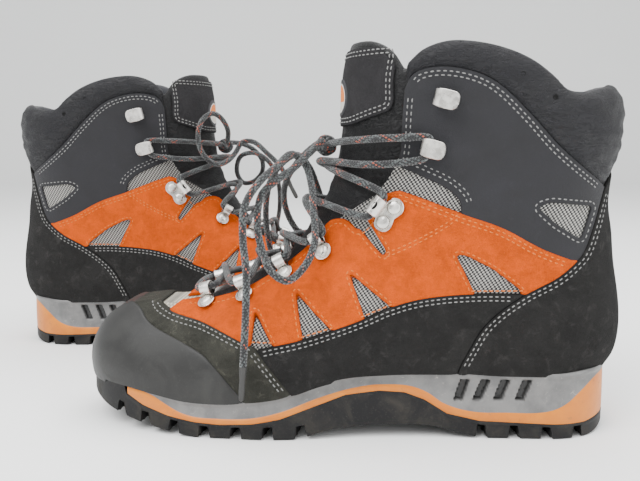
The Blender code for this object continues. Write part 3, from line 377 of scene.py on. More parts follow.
class Grid:
    """The fine grid of the upper: points, normals, triangles and distance round from the ridge."""

    def __init__(self):
        v, phi = np.meshgrid(np.linspace(0, 1, UP + 1), np.arange(AROUND) * math.tau / AROUND, indexing="ij")
        points = base_point(v.ravel(), phi.ravel()).reshape(UP + 1, AROUND, 3)
        turning = np.stack([-np.sin(phi), np.cos(phi), 0 * phi], 2)
        around = np.roll(points, -1, 1) - np.roll(points, 1, 1) + 0.001 * turning
        normals = np.cross(around, np.gradient(points, axis=0))
        normals /= np.linalg.norm(normals, axis=2)[..., None]
        steps = np.linalg.norm(np.diff(points, axis=1), axis=2)
        there = np.concatenate([np.zeros((UP + 1, 1)), np.cumsum(steps, 1)], 1)
        whole = there[:, -1:] + np.linalg.norm(points[:, 0] - points[:, -1], axis=1)[:, None]
        self.round = np.where(there < whole / 2, there, there - whole).ravel()
        self.points, self.normals = points.reshape(-1, 3), normals.reshape(-1, 3)
        row = np.arange(AROUND)
        low = np.arange(UP)[:, None] * AROUND
        a, b = row + low, np.roll(row, -1) + low
        first = np.stack([a, b, b + AROUND], -1).reshape(-1, 3)
        second = np.stack([a, b + AROUND, a + AROUND], -1).reshape(-1, 3)
        self.triangles = np.vstack([first, second])
        self.tree = BVHTree.FromPolygons(self.points.tolist(), self.triangles.tolist())
        self.side = self.points[:, [0, 2]]


GRID = Grid()


def signed(points, outline):
    """Distance to a closed outline, positive inside."""
    a = np.array(outline, float)
    step = np.roll(a, -1, 0) - a
    keep = np.linalg.norm(step, axis=1) > 1e-6
    a, step = a[keep], step[keep]
    rise = np.where(np.abs(step[:, 1]) < 1e-9, 1e-9, step[:, 1])
    out = np.full(len(points), -float(BIG))
    near = np.flatnonzero(((points > a.min(0) - 4) & (points < a.max(0) + 4)).all(1))
    for low in range(0, len(near), 3000):
        chosen = near[low : low + 3000]
        p = points[chosen][:, None]
        t = np.clip(((p - a) * step).sum(2) / (step**2).sum(1), 0, 1)
        away = np.linalg.norm(p - a - t[..., None] * step, axis=2).min(1)
        crosses = (a[:, 1] > p[..., 1]) != (a[:, 1] + step[:, 1] > p[..., 1])
        beyond = p[..., 0] < a[:, 0] + (p[..., 1] - a[:, 1]) * step[:, 0] / rise
        inside = (crosses & beyond).sum(1) % 2 == 1
        out[chosen] = np.where(inside, away, -away)
    return out


def split(rows, triangles, level):
    """Cuts every triangle along the line where the last column of rows passes the level."""
    over = rows[:, -1] > level
    count = over[triangles].sum(1)
    mixed = (count > 0) & (count < 3)
    whole, cut, count = triangles[~mixed], triangles[mixed], count[mixed]
    if not len(cut):
        return rows, triangles
    lone = np.where(count == 1, over[cut].argmax(1), (~over[cut]).argmax(1))
    index = (lone[:, None] + np.arange(3)) % 3
    a, b, c = np.take_along_axis(cut, index, 1).T
    pairs = np.sort(np.concatenate([np.stack([a, b], 1), np.stack([a, c], 1)]), axis=1)
    unique, place = np.unique(pairs, axis=0, return_inverse=True)
    place = place.reshape(-1) + len(rows)
    low, high = rows[unique[:, 0]], rows[unique[:, 1]]
    t = ((level - low[:, -1]) / (high[:, -1] - low[:, -1]))[:, None]
    made = low + (high - low) * t
    made[:, -1] = level
    ab, ac = place[: len(a)], place[len(a) :]
    new = [np.stack(corners, 1) for corners in ((a, ab, ac), (ab, b, c), (ab, c, ac))]
    return np.vstack([rows, made]), np.vstack([whole] + new)


class Sheet:
    """A region of the grid: rows of point, normal, flat coordinates and distance from its edge."""

    def __init__(self, distance, half=0, levels=(0.35, 1.1), flat=None):
        flat = GRID.side if flat is None else flat
        rows = np.hstack([GRID.points, GRID.normals, flat, distance[:, None]])
        chosen = (distance > 0)[GRID.triangles].any(1)
        if half:
            chosen &= (GRID.points[:, 1] * half > -0.5)[GRID.triangles].all(1)
        triangles = GRID.triangles[chosen]
        for level in (0,) + tuple(levels):
            rows, triangles = split(rows, triangles, level)
        inside = rows[triangles, -1].mean(1) > 0
        triangles = triangles[inside]
        used, place = np.unique(triangles, return_inverse=True)
        self.rows, self.triangles = rows[used], place.reshape(-1, 3)
        self.points, self.normals = self.rows[:, :3], self.rows[:, 3:6]
        self.flat, self.edge = self.rows[:, 6:8], np.maximum(self.rows[:, 8], 0)

    def boundary(self):
        """Edges that belong to one triangle, in the direction that they run round it."""
        t = self.triangles
        ends = np.concatenate([t[:, [0, 1]], t[:, [1, 2]], t[:, [2, 0]]])
        _, index, count = np.unique(np.sort(ends, 1), axis=0, return_inverse=True, return_counts=True)
        return ends[count[index.reshape(-1)] == 1]

    def solid(self, low, high):
        """Points, triangles, flat coordinates and edge distance of the closed layer low..high."""
        n = len(self.points)
        outer = self.points + self.normals * np.broadcast_to(high, n)[:, None]
        inner = self.points + self.normals * np.broadcast_to(low, n)[:, None]
        rim = self.boundary()
        sides = [np.stack([rim[:, 1], rim[:, 0], rim[:, 0] + n], 1)]
        sides.append(np.stack([rim[:, 1], rim[:, 0] + n, rim[:, 1] + n], 1))
        faces = np.vstack([self.triangles, self.triangles[:, ::-1] + n] + sides)
        return np.vstack([outer, inner]), faces, np.vstack([self.flat] * 2), np.tile(self.edge, 2)


def ripple(points, size, seed=0.0, stretch=(1, 1, 1)):
    """Smooth noise from -1 to 1 at points, with features of about this size in mm."""
    scaled = points * np.array(stretch) / size + seed
    return np.array([noise.noise(Vector(p)) for p in scaled])


# ---------------------------------------------------------------- boots and objects


class Boot:
    """One boot: carries local millimetre points into the frame, mirrored or not."""

    def __init__(self, name, heel_mm, heading_deg, flip):
        self.name, self.heel, self.flip = name, heel_mm, flip
        self.cos, self.sin = math.cos(math.radians(heading_deg)), math.sin(math.radians(heading_deg))

    def world(self, points):
        p = np.array(points, float).reshape(-1, 3)
        y = p[:, 1] * self.flip
        x = self.heel[0] + self.cos * p[:, 0] - self.sin * y
        return np.stack([x, self.heel[1] + self.sin * p[:, 0] + self.cos * y, p[:, 2]], 1) * MM

    def make(self, name, points, faces, look, flat=None, edge=None, sharp=38, body="boot"):
        """An object from local points, riding on one of the boot's two bodies."""
        if self.flip < 0:
            faces = [tuple(face)[::-1] for face in faces]
        mesh = bpy.data.meshes.new(name)
        mesh.from_pydata(self.world(points).tolist(), [], [tuple(int(k) for k in f) for f in faces])
        if flat is not None:
            corners = np.empty(len(mesh.loops), np.int32)
            mesh.loops.foreach_get("vertex_index", corners)
            layer = mesh.uv_layers.new(name="flat")
            layer.data.foreach_set("uv", np.asarray(flat, np.float32)[corners].ravel())
        if edge is not None:
            mesh.attributes.new("edge", "FLOAT", "POINT").data.foreach_set("value", np.float32(edge))
        mesh.materials.append(look.material)
        mesh.shade_smooth()
        mesh.set_sharp_from_angle(angle=math.radians(sharp))
        obj = bpy.data.objects.new(f"{self.name}_{name}_look", mesh)
        bpy.context.scene.collection.objects.link(obj)
        if body:
            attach(obj, f"{self.name}_{body}")
        return obj

    def stands_for(self, obj, *nodes):
        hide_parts(*[f"{self.name}_{node}" for node in nodes])


BOTH = [Boot(name, **spec) for name, spec in BOOTS.items()]


def merge(parts):
    """Several (points, faces) made one."""
    points, faces, start = [], [], 0
    for some_points, some_faces in parts:
        points.append(np.asarray(some_points, float))
        faces += [tuple(int(k) + start for k in face) for face in some_faces]
        start += len(some_points)
    return np.vstack(points), faces


# ---------------------------------------------------------------- materials


def node(tree, kind, inputs=(), **settings):
    made = tree.nodes.new(kind)
    for key, value in settings.items():
        setattr(made, key, value)
    for key, value in dict(inputs).items():
        if isinstance(value, bpy.types.NodeSocket):
            tree.links.new(value, made.inputs[key])
        else:
            made.inputs[key].default_value = value
    return made


class Look:
    """A Principled material and the helpers that build its colour, roughness and bump."""

    def __init__(self, name, slot, roughness=0.8, **settings):
        self.material = bpy.data.materials.new(name)
        self.material.use_nodes = True
        self.tree, self.slot = self.material.node_tree, slot
        self.shader = self.tree.nodes["Principled BSDF"]
        self.shader.inputs["Roughness"].default_value = roughness
        for key, value in settings.items():
            self.shader.inputs[key.replace("_", " ")].default_value = value
        self.place = self.node("ShaderNodeTexCoord").outputs["Object"]
        self.height = None

    def node(self, kind, inputs=(), **settings):
        return node(self.tree, kind, inputs, **settings)

    def noise(self, size_mm, detail=3.0, roughness=0.55, vector=None, distortion=0.0):
        made = self.node(
            "ShaderNodeTexNoise",
            {
                "Vector": vector or self.place,
                "Scale": 1 / (size_mm * MM),
                "Detail": detail,
                "Roughness": roughness,
                "Distortion": distortion,
            },
        )
        return made.outputs["Fac"]

    def math(self, operation, a, b=0.0, c=0.0, clamp=False):
        made = self.node("ShaderNodeMath", operation=operation, use_clamp=clamp)
        for k, value in enumerate((a, b, c)):
            if isinstance(value, bpy.types.NodeSocket):
                self.tree.links.new(value, made.inputs[k])
            else:
                made.inputs[k].default_value = value
        return made.outputs[0]

    def between(self, value, low, high, out_low=0.0, out_high=1.0):
        """value from low..high mapped smoothly to out_low..out_high."""
        inputs = {"Value": value, "From Min": low, "From Max": high, "To Min": out_low, "To Max": out_high}
        made = self.node("ShaderNodeMapRange", inputs, interpolation_type="SMOOTHSTEP")
        return made.outputs["Result"]

    def mix(self, share, a, b, blend="MIX"):
        made = self.node("ShaderNodeMix", data_type="RGBA", blend_type=blend, clamp_factor=True)
        for socket, value in ((made.inputs[0], share), (made.inputs[6], a), (made.inputs[7], b)):
            if isinstance(value, bpy.types.NodeSocket):
                self.tree.links.new(value, socket)
            else:
                socket.default_value = value if isinstance(value, float) else (*value, 1)
        return made.outputs[2]

    def edge(self):
        return self.node("ShaderNodeAttribute", attribute_name="edge").outputs["Fac"]

    def flat(self):
        made = self.node("ShaderNodeUVMap", uv_map="flat")
        return self.node("ShaderNodeSeparateXYZ", {"Vector": made.outputs["UV"]}).outputs

    def colour(self, socket):
        self.tree.links.new(socket, self.shader.inputs["Base Color"])

    def rough(self, socket):
        self.tree.links.new(socket, self.shader.inputs["Roughness"])

    def bump(self, socket, depth_mm, strength=1.0):
        """Adds a bump of this depth, on top of the ones added before."""
        inputs = {"Height": socket, "Distance": depth_mm * MM, "Strength": strength}
        if self.height is not None:
            inputs["Normal"] = self.height
        self.height = self.node("ShaderNodeBump", inputs).outputs["Normal"]
        self.tree.links.new(self.height, self.shader.inputs["Normal"])


def scaled(colour, factor):
    return tuple(min(channel * factor, 1.0) for channel in colour)


def suede(name, slot, colour, patch_mm=14, contrast=0.3, fuzz=0.5, edge_dark=0.5, worn=None, sheen=0.25):
    """Napped leather: blotches where the nap lies another way, fine fibres and darker cut edges."""
    look = Look(name, slot, 0.95, Sheen_Weight=sheen, Sheen_Roughness=0.6, Specular_IOR_Level=0.15)
    look.shader.inputs["Sheen Tint"].default_value = (*scaled(colour, 1.6), 1)
    patches = look.between(look.noise(patch_mm, 4, 0.62, distortion=0.6), 0.3, 0.72)
    nap = look.between(look.noise(2.2, 5, 0.7), 0.3, 0.7)
    fibres = look.between(look.noise(0.42, 3, 0.7), 0.28, 0.74)
    base = look.mix(patches, scaled(colour, 1 - contrast), scaled(colour, 1 + contrast * 0.45))
    base = look.mix(look.math("MULTIPLY", nap, 0.34), base, scaled(colour, 1.3))
    base = look.mix(look.math("MULTIPLY", fibres, fuzz), base, scaled(colour, 0.42), "MIX")
    if worn:
        spots = look.between(look.noise(7, 6, 0.72, distortion=0.4), 0.52, 0.7)
        base = look.mix(look.math("MULTIPLY", spots, 0.5), base, worn)
    cut = look.between(look.edge(), 0.0, 0.75, edge_dark, 0.0)
    look.colour(look.mix(cut, base, scaled(colour, 0.25)))
    look.bump(fibres, 0.3, 1.0)
    look.bump(nap, 0.5, 0.8)
    look.bump(look.between(look.noise(9, 2), 0.3, 0.7), 0.5, 0.35)
    return look


def nubuck(name, slot, colour):
    """Smoother buffed leather with a fine grain and faint scuffs."""
    look = Look(name, slot, 0.8, Sheen_Weight=0.08, Sheen_Roughness=0.5, Specular_IOR_Level=0.25)
    patches = look.between(look.noise(22, 5, 0.6, distortion=0.8), 0.3, 0.7)
    grain = look.between(look.noise(0.7, 4, 0.75), 0.3, 0.72)
    base = look.mix(patches, scaled(colour, 0.78), scaled(colour, 1.22))
    scuffs = look.between(look.noise(5, 7, 0.75, distortion=1.2), 0.56, 0.72)
    base = look.mix(look.math("MULTIPLY", scuffs, 0.35), base, scaled(colour, 2.1))
    base = look.mix(look.math("MULTIPLY", grain, 0.3), base, scaled(colour, 0.55))
    cut = look.between(look.edge(), 0.0, 0.7, 0.55, 0.0)
    look.colour(look.mix(cut, base, scaled(colour, 0.3)))
    look.rough(look.between(patches, 0, 1, 0.74, 0.88))
    look.bump(grain, 0.1, 0.8)
    look.bump(look.between(look.noise(3.5, 3, 0.6), 0.3, 0.7), 0.2, 0.35)
    return look


def creased_leather(name, slot, colour, crease_mm=5.0, shine=0.48):
    """Soft padded leather with creases and a pebbled grain."""
    look = Look(name, slot, shine, Specular_IOR_Level=0.3)
    stretch = look.node("ShaderNodeMapping", {"Vector": look.place, "Scale": (1.0, 1.0, 2.4)}).outputs[0]
    veins = look.noise(crease_mm, 4, 0.6, vector=stretch, distortion=1.4)
    ridge = look.math("ABSOLUTE", look.math("SUBTRACT", veins, 0.5))
    creases = look.between(ridge, 0.0, 0.07)
    pebble_mm = 0.9
    inputs = {"Vector": look.place, "Scale": 1 / (pebble_mm * MM)}
    cells = look.node("ShaderNodeTexVoronoi", inputs, feature="DISTANCE_TO_EDGE")
    pebbles = look.between(cells.outputs["Distance"], 0.0, 0.25)
    tone = look.between(look.noise(16, 4), 0.3, 0.7)
    base = look.mix(tone, scaled(colour, 0.75), scaled(colour, 1.35))
    base = look.mix(look.math("SUBTRACT", 1.0, creases), base, scaled(colour, 1.9))
    look.colour(base)
    look.rough(look.between(tone, 0, 1, shine - 0.08, shine + 0.14))
    look.bump(creases, 0.8, 0.8)
    look.bump(pebbles, 0.08, 0.6)
    return look


def rubber(name, slot, colour, dust, roughness, dust_share=0.25, grain=0.35):
    """Moulded rubber with a fine matte grain and dust lying on it."""
    look = Look(name, slot, roughness, Specular_IOR_Level=0.2)
    cloud = look.between(look.noise(18, 6, 0.65, distortion=0.7), 0.42, 0.75)
    specks = look.between(look.noise(1.1, 4, 0.7), 0.55, 0.72)
    base = look.mix(look.math("MULTIPLY", cloud, dust_share), colour, dust)
    base = look.mix(look.math("MULTIPLY", specks, dust_share * 0.8), base, dust)
    look.colour(base)
    look.rough(look.between(cloud, 0, 1, roughness - 0.06, roughness + 0.2))
    look.bump(look.noise(0.5, 3, 0.6), 0.06, grain)
    look.bump(look.noise(6, 3, 0.6), 0.25, 0.25)
    return look


def foam():
    """Orange polyurethane: satin skin, spots of grime and small scuffs."""
    look = Look("orange polyurethane", "midsole_foam", 0.5, Specular_IOR_Level=0.45)
    tone = look.between(look.noise(20, 5, 0.6, distortion=0.6), 0.35, 0.7)
    grime = look.between(look.noise(4.5, 6, 0.72), 0.56, 0.74)
    base = look.mix(tone, (0.50, 0.135, 0.0), (0.58, 0.175, 0.0))
    look.colour(look.mix(look.math("MULTIPLY", grime, 0.55), base, (0.2, 0.12, 0.06)))
    look.rough(look.between(grime, 0, 1, 0.45, 0.8))
    look.bump(look.noise(0.8, 4, 0.7), 0.08, 0.5)
    return look


def plastic():
    """Grey thermoplastic frame with a metallic flake, rub marks and painted shade that darkens the slots with
    their depth.
    """
    look = Look("grey thermoplastic", "frame_plastic", 0.4, Specular_IOR_Level=0.4, Metallic=0.15)
    tone = look.between(look.noise(15, 5, 0.6), 0.3, 0.7)
    rubs = look.between(look.noise(3, 7, 0.75, distortion=1.0), 0.57, 0.72)
    base = look.mix(tone, (0.105, 0.105, 0.105), (0.175, 0.172, 0.168))
    base = look.mix(look.math("MULTIPLY", rubs, 0.5), base, (0.42, 0.4, 0.37))
    # painted shade: the heel slots go near black with their depth (the edge attribute holds slot depth here)
    look.colour(look.mix(look.between(look.edge(), 0, 3.5, 0, 0.92), base, (0.03, 0.03, 0.03)))
    look.rough(look.between(tone, 0, 1, 0.34, 0.52))
    look.bump(look.noise(0.45, 3, 0.6), 0.05, 0.5)
    return look


def woven(name, slot, light, dark, beige, pitch=1.15):
    """Basket weave of a light and a dark thread, warmer and lighter towards the toe, with painted shade where
    the threads dip.
    """
    look = Look(name, slot, 0.85, Sheen_Weight=0.15, Specular_IOR_Level=0.25)
    u, w = look.flat()[0], look.flat()[1]
    u = look.math("DIVIDE", look.math("ADD", u, look.math("MULTIPLY", w, 0.35)), pitch)
    w = look.math("DIVIDE", w, pitch)
    turn = look.math("MODULO", look.math("ADD", look.math("FLOOR", u), look.math("FLOOR", w)), 2.0)
    over = look.math("GREATER_THAN", look.math("ABSOLUTE", turn), 0.5)
    across_u = look.math("SINE", look.math("MULTIPLY", look.math("FRACT", u), math.pi))
    across_w = look.math("SINE", look.math("MULTIPLY", look.math("FRACT", w), math.pi))
    warp = look.math("MULTIPLY", look.math("POWER", across_w, 0.6), look.math("ADD", across_u, 0.6))
    weft = look.math("MULTIPLY", look.math("POWER", across_u, 0.6), look.math("ADD", across_w, 0.6))
    under = look.math("SUBTRACT", 1.0, over)
    height = look.math("ADD", look.math("MULTIPLY", over, warp), look.math("MULTIPLY", under, weft))
    toe = look.between(look.flat()[0], 236.0, 246.0)
    fade = look.between(look.noise(9, 4), 0.3, 0.7)
    pale = look.mix(toe, light, beige)
    deep = look.mix(toe, dark, scaled(beige, 0.55))
    base = look.mix(over, deep, look.mix(look.math("MULTIPLY", fade, 0.35), pale, scaled(light, 0.6)))
    # painted shade: the low parts of the weave, between and under the threads, are darkened towards the dark
    # thread colour
    shade = look.between(height, 0.0, 0.9, 0.75, 0.0)
    look.colour(look.mix(shade, base, scaled(dark, 0.6)))
    look.bump(height, 0.3, 0.9)
    return look


def cloth(name, slot, colour, pitch=0.9):
    """Knitted lining: small raised stitches, with painted shade in the sunken gaps between them."""
    look = Look(name, slot, 0.9, Sheen_Weight=0.3, Specular_IOR_Level=0.2)
    cells = look.node("ShaderNodeTexVoronoi", {"Vector": look.place, "Scale": 1 / (pitch * MM)})
    knit = look.between(cells.outputs["Distance"], 0.1, 0.7)
    fade = look.between(look.noise(18, 4), 0.3, 0.7)
    base = look.mix(fade, scaled(colour, 0.75), scaled(colour, 1.3))
    # painted shade: the sunken gaps between the raised stitches are darkened
    look.colour(look.mix(look.math("MULTIPLY", knit, 0.6), base, scaled(colour, 0.35)))
    look.bump(knit, 0.25, -0.8)
    return look


def metal():
    """Nickel-plated steel, brushed and lightly scratched."""
    look = Look("nickel plated steel", "nickel_steel", 0.28, Metallic=1.0)
    blur = look.between(look.noise(5, 4, 0.6), 0.3, 0.7)
    marks = look.between(look.noise(0.7, 5, 0.7, distortion=1.5), 0.6, 0.75)
    base = look.mix(blur, (0.56, 0.54, 0.51), (0.76, 0.74, 0.70))
    look.colour(look.mix(look.math("MULTIPLY", marks, 0.45), base, (0.3, 0.28, 0.26)))
    look.rough(look.between(blur, 0, 1, 0.2, 0.42))
    look.bump(look.noise(1.6, 4, 0.65), 0.06, 0.5)
    return look


def braid():
    """Round braided lace: dark strands with grey-teal and red flecks that run round in two helices, with
    painted shade where the strands dip.
    """
    look = Look("braided lace", "lace", 0.8, Sheen_Weight=0.3, Specular_IOR_Level=0.25)
    strands, lay_mm = 12.0, 3.4
    u, v = look.flat()[0], look.flat()[1]
    turns, shift = look.math("MULTIPLY", v, strands), look.math("DIVIDE", u, lay_mm / 2)
    p, q = look.math("ADD", turns, shift), look.math("SUBTRACT", turns, shift)
    cell = look.math("ADD", look.math("FLOOR", p), look.math("FLOOR", q))
    over = look.math("GREATER_THAN", look.math("ABSOLUTE", look.math("MODULO", cell, 2.0)), 0.5)
    thread_p = look.math("SINE", look.math("MULTIPLY", look.math("FRACT", p), math.pi))
    thread_q = look.math("SINE", look.math("MULTIPLY", look.math("FRACT", q), math.pi))
    under = look.math("SUBTRACT", 1.0, over)
    height = look.math("ADD", look.math("MULTIPLY", over, thread_p), look.math("MULTIPLY", under, thread_q))
    which = look.math("FLOORED_MODULO", look.math("FLOOR", p), strands)
    other = look.math("ADD", look.math("FLOORED_MODULO", look.math("FLOOR", q), strands), strands)
    number = look.math("ADD", look.math("MULTIPLY", over, which), look.math("MULTIPLY", under, other))
    pick = look.node("ShaderNodeTexWhiteNoise", {"W": number}, noise_dimensions="1D").outputs["Value"]
    yarn = look.between(look.noise(0.35, 2, 0.6), 0.3, 0.7)
    base = look.mix(yarn, (0.004, 0.0045, 0.005), (0.017, 0.018, 0.02))
    base = look.mix(look.between(pick, 0.74, 0.75), base, (0.085, 0.1, 0.1))
    breaks = look.between(look.noise(9, 2, 0.5), 0.5, 0.53)
    red = look.math("MULTIPLY", look.between(pick, 0.9, 0.91), breaks)
    base = look.mix(red, base, (0.45, 0.08, 0.035))
    # painted shade: the low parts of the braid, between the strands, are darkened
    look.colour(look.mix(look.between(height, 0.0, 0.55, 0.85, 0.0), base, (0.006, 0.006, 0.007)))
    look.bump(height, 0.35, 1.0)
    return look


def thread(name, slot, colour):
    """Sewing thread with a visible twist."""
    look = Look(name, slot, 0.6, Specular_IOR_Level=0.35)
    twist = look.between(look.noise(0.35, 3, 0.6), 0.3, 0.7)
    look.colour(look.mix(twist, scaled(colour, 0.55), scaled(colour, 1.15)))
    look.bump(twist, 0.12, 0.7)
    return look


def badge_look():
    """A plain round badge: dark ring, pale line, orange field over a cream one."""
    look = Look("round badge", "tongue_leather", 0.6, Specular_IOR_Level=0.4)
    u, w = look.flat()[0], look.flat()[1]
    up = look.math("SUBTRACT", w, BADGE_Z)
    side = look.math("SUBTRACT", u, BADGE_ROUND)
    away = look.math("SQRT", look.math("ADD", look.math("POWER", side, 2.0), look.math("POWER", up, 2.0)))
    weave = look.between(look.noise(0.5, 3, 0.6), 0.3, 0.7)
    field = look.mix(look.between(up, -2.4, -2.0), (0.62, 0.58, 0.5), (0.8, 0.2, 0.02))
    ring = look.mix(look.between(away, 7.4, 7.7), field, (0.7, 0.69, 0.66))
    ring = look.mix(look.between(away, 8.3, 8.6), ring, (0.02, 0.02, 0.024))
    look.colour(look.mix(look.math("MULTIPLY", weave, 0.3), ring, (0.05, 0.05, 0.05)))
    look.bump(weave, 0.15, 0.8)
    return look


BADGE_Z, BADGE_R, BADGE_ROUND = 190.0, 11.0, 5.0
ORANGE = (0.67, 0.088, 0.0)
GREY = (0.021, 0.0205, 0.020)
VAMP_GREY, VAMP_WORN = (0.042, 0.042, 0.035), (0.11, 0.105, 0.085)
TREAD_BLACK, TREAD_DUST = (0.008, 0.008, 0.0085), (0.075, 0.068, 0.056)
SUEDE_ORANGE = suede(
    "orange suede", "orange_suede", ORANGE, patch_mm=10, contrast=0.26, fuzz=0.34, edge_dark=0.35, sheen=0.03
)
SUEDE_GREY = suede("grey suede", "grey_suede", GREY, contrast=0.35, worn=(0.05, 0.048, 0.046), sheen=0.07)
SUEDE_VAMP = suede("dusty vamp suede", "grey_suede", VAMP_GREY, contrast=0.4, sheen=0.1, worn=VAMP_WORN)
SUEDE_PATCH = suede("tongue patch suede", "grey_suede", (0.032, 0.031, 0.033), contrast=0.25, sheen=0.1)
NUBUCK = nubuck("anthracite nubuck", "nubuck", (0.018, 0.018, 0.0205))
RAND_RUBBER = rubber("toe rubber", "toe_rubber", (0.022, 0.022, 0.0215), (0.06, 0.06, 0.057), 0.5, 0.35)
TREAD_RUBBER = rubber("tread rubber", "tread_rubber", TREAD_BLACK, TREAD_DUST, 0.62, 0.35, 0.6)
FOAM = foam()
FRAME_PLASTIC = plastic()
WEAVE = woven("basket weave", "mesh_cloth", (0.42, 0.41, 0.38), (0.022, 0.022, 0.024), (0.5, 0.47, 0.37))
LINING_CLOTH = cloth("knitted lining", "lining_cloth", (0.045, 0.046, 0.052))
FOOTBED_CLOTH = cloth("footbed cover", "footbed_foam", (0.09, 0.092, 0.1), 1.3)
BOARD_LOOK = suede("pressed fibre board", "insole_board", (0.3, 0.25, 0.17), contrast=0.2, edge_dark=0.0)
COLLAR_LEATHER = creased_leather("collar leather", "padded_leather", (0.006, 0.006, 0.0075), 9.0, 0.52)
TONGUE_LEATHER = creased_leather("tongue leather", "tongue_leather", (0.0055, 0.0055, 0.006), 4.2, 0.45)
STEEL = metal()
LACE = braid()
LACE_TIP = rubber("lace tip", "lace_tip", (0.04, 0.04, 0.039), (0.09, 0.09, 0.085), 0.35, 0.3)
THREAD_PALE = thread("pale thread", "grey_suede", (0.23, 0.23, 0.225))
THREAD_ORANGE = thread("orange thread", "orange_suede", (0.72, 0.17, 0.015))
# painted shade: near-black stand-in for the shade inside the collar vents and the clamp's oval opening
HOLE_SHADE = rubber("painted hole shade", "padded_leather", (0.004, 0.004, 0.004), (0.01, 0.01, 0.01), 0.9, 0.1)
BADGE = badge_look()


# ---------------------------------------------------------------- leather panels

RAND_CURVE, VAMP_CURVE, VAMP_SEAM_CURVE = curved(RAND_EDGE), curved(VAMP_EDGE), curved(VAMP_SEAM)
SIDE_CURVE, SADDLE_TOP_CURVE = curved(SIDE_TOP), curved(SADDLE_TOP)
HEEL_CURVE = HEEL_EDGE[:2] + curved(HEEL_EDGE[2:])
CUFF_BOTTOM_CURVE, CUFF_FRONT_CURVE = curved(CUFF_BOTTOM), curved(CUFF_FRONT)
CUFF_TOP_CURVE = curved(CUFF_TOP)
SADDLE_FRONT_CURVE = curved(SADDLE_FRONT, 2.0)
HEEL_MID = HEEL_CURVE.index(min(HEEL_CURVE[2:], key=lambda p: math.dist(p, (31, 99.5))))
HEEL_LOW = HEEL_CURVE.index(min(HEEL_CURVE[2:], key=lambda p: math.dist(p, (57, 82))))

TOE_RAND = RAND_CURVE + [(208, 0), (340, 0), (340, 76)]
VAMP = RAND_CURVE[::-1] + [(287, 90)] + VAMP_CURVE + VAMP_SEAM_CURVE[1:]
HEEL_REGION = HEEL_CURVE + [(97, 10), (-12, 10)]
SIDE_BAND = SIDE_CURVE + HEEL_CURVE[HEEL_LOW + 1 :] + [(97, 10), (180, 10)] + VAMP_SEAM_CURVE[::-1][:-1]
SADDLE = (
    VAMP_CURVE[[p[0] < 259.5 for p in VAMP_CURVE].index(True) :]
    + SIDE_CURVE[1:]
    + HEEL_CURVE[HEEL_MID : HEEL_LOW][::-1]
    + SADDLE_TOP_CURVE[1:]
    + SADDLE_FRONT_CURVE
)
CUFF = (
    SADDLE_TOP_CURVE[: [p[0] > 92.5 for p in SADDLE_TOP_CURVE].index(True)]
    + CUFF_BOTTOM_CURVE[::-1]
    + CUFF_FRONT_CURVE[1:]
    + CUFF_TOP_CURVE[1:]
    + HEEL_CURVE[3:HEEL_MID]
)
COLLAR_BACK = [(-12, 197), (-12, 149), (6, 149)]
COLLAR = CUFF_TOP_CURVE[::-1] + [(124, 206)] + curved(COLLAR_TOP[1:])[::-1] + COLLAR_BACK
THROAT_REGION = curved(THROAT) + [(330, 240), (330, 100), (260, 90)]
TONGUE_BOUND = [(0, 0)] + [(0, 204)] + TONGUE_TOP[:1] + curved(TONGUE_TOP[:4]) + [(400, 222), (400, 0)]


def above_sole(lift):
    """How far above the feather line each grid point is."""
    return GRID.side[:, 1] - feather(GRID.side[:, 0]) - lift


def region(outline, windows=(), grow=0.0, lift=-1.2):
    """Distance inside an outline, outside its windows and above the sole, at every grid point."""
    distance = signed(GRID.side, outline) + grow
    for window in windows:
        distance = np.minimum(distance, -signed(GRID.side, window))
    below = above_sole(lift)
    return np.where(below < 0, np.minimum(distance, below), distance)


def leather(name, outline, layer, look, node_name, windows=(), grow=0.0, half=0, body_ripple=0.25, soft=1.1):
    """A panel: flat cut edge, rounded shoulder, slightly uneven face."""
    sheet = Sheet(region(outline, windows, grow), half)
    low, high = layer
    shoulder = 0.45 + 0.55 * dome(sheet.edge / soft)
    uneven = body_ripple * ripple(sheet.points, 26, 3.7) * ease(sheet.edge / 8)
    solid = sheet.solid(low, low + (high - low) * shoulder + uneven)
    for boot in BOTH:
        obj = boot.make(name, solid[0], solid[1], look, solid[2], solid[3])
        boot.stands_for(obj, node_name)


def window_outlines(outlines, radius=2.6):
    return [rounded(outline, radius) for outline in outlines]


def make_panels():
    leather("toe_rand", TOE_RAND, RAND, RAND_RUBBER, "toe_rand", body_ripple=0.15, soft=1.6)
    leather("vamp_suede", VAMP, UNDER, SUEDE_VAMP, "vamp_suede", grow=TUCK, body_ripple=0.5)
    leather("heel_counter", HEEL_REGION, OVER, SUEDE_GREY, "heel_counter", body_ripple=0.35)
    for side, half in SIDES:
        leather(f"side_band_{side}", SIDE_BAND, OVER, SUEDE_GREY, f"side_band_{side}", half=half)
        windows = window_outlines(SADDLE_WINDOWS + [SADDLE_SLIT])
        leather(
            f"saddle_{side}", SADDLE, SADDLE_LAYER, SUEDE_ORANGE, f"saddle_{side}", windows, TUCK, half, 0.55
        )
        windows = window_outlines([CUFF_WINDOW])
        leather(f"cuff_{side}", CUFF, UNDER, NUBUCK, f"cuff_{side}", windows, TUCK, half, 0.4)


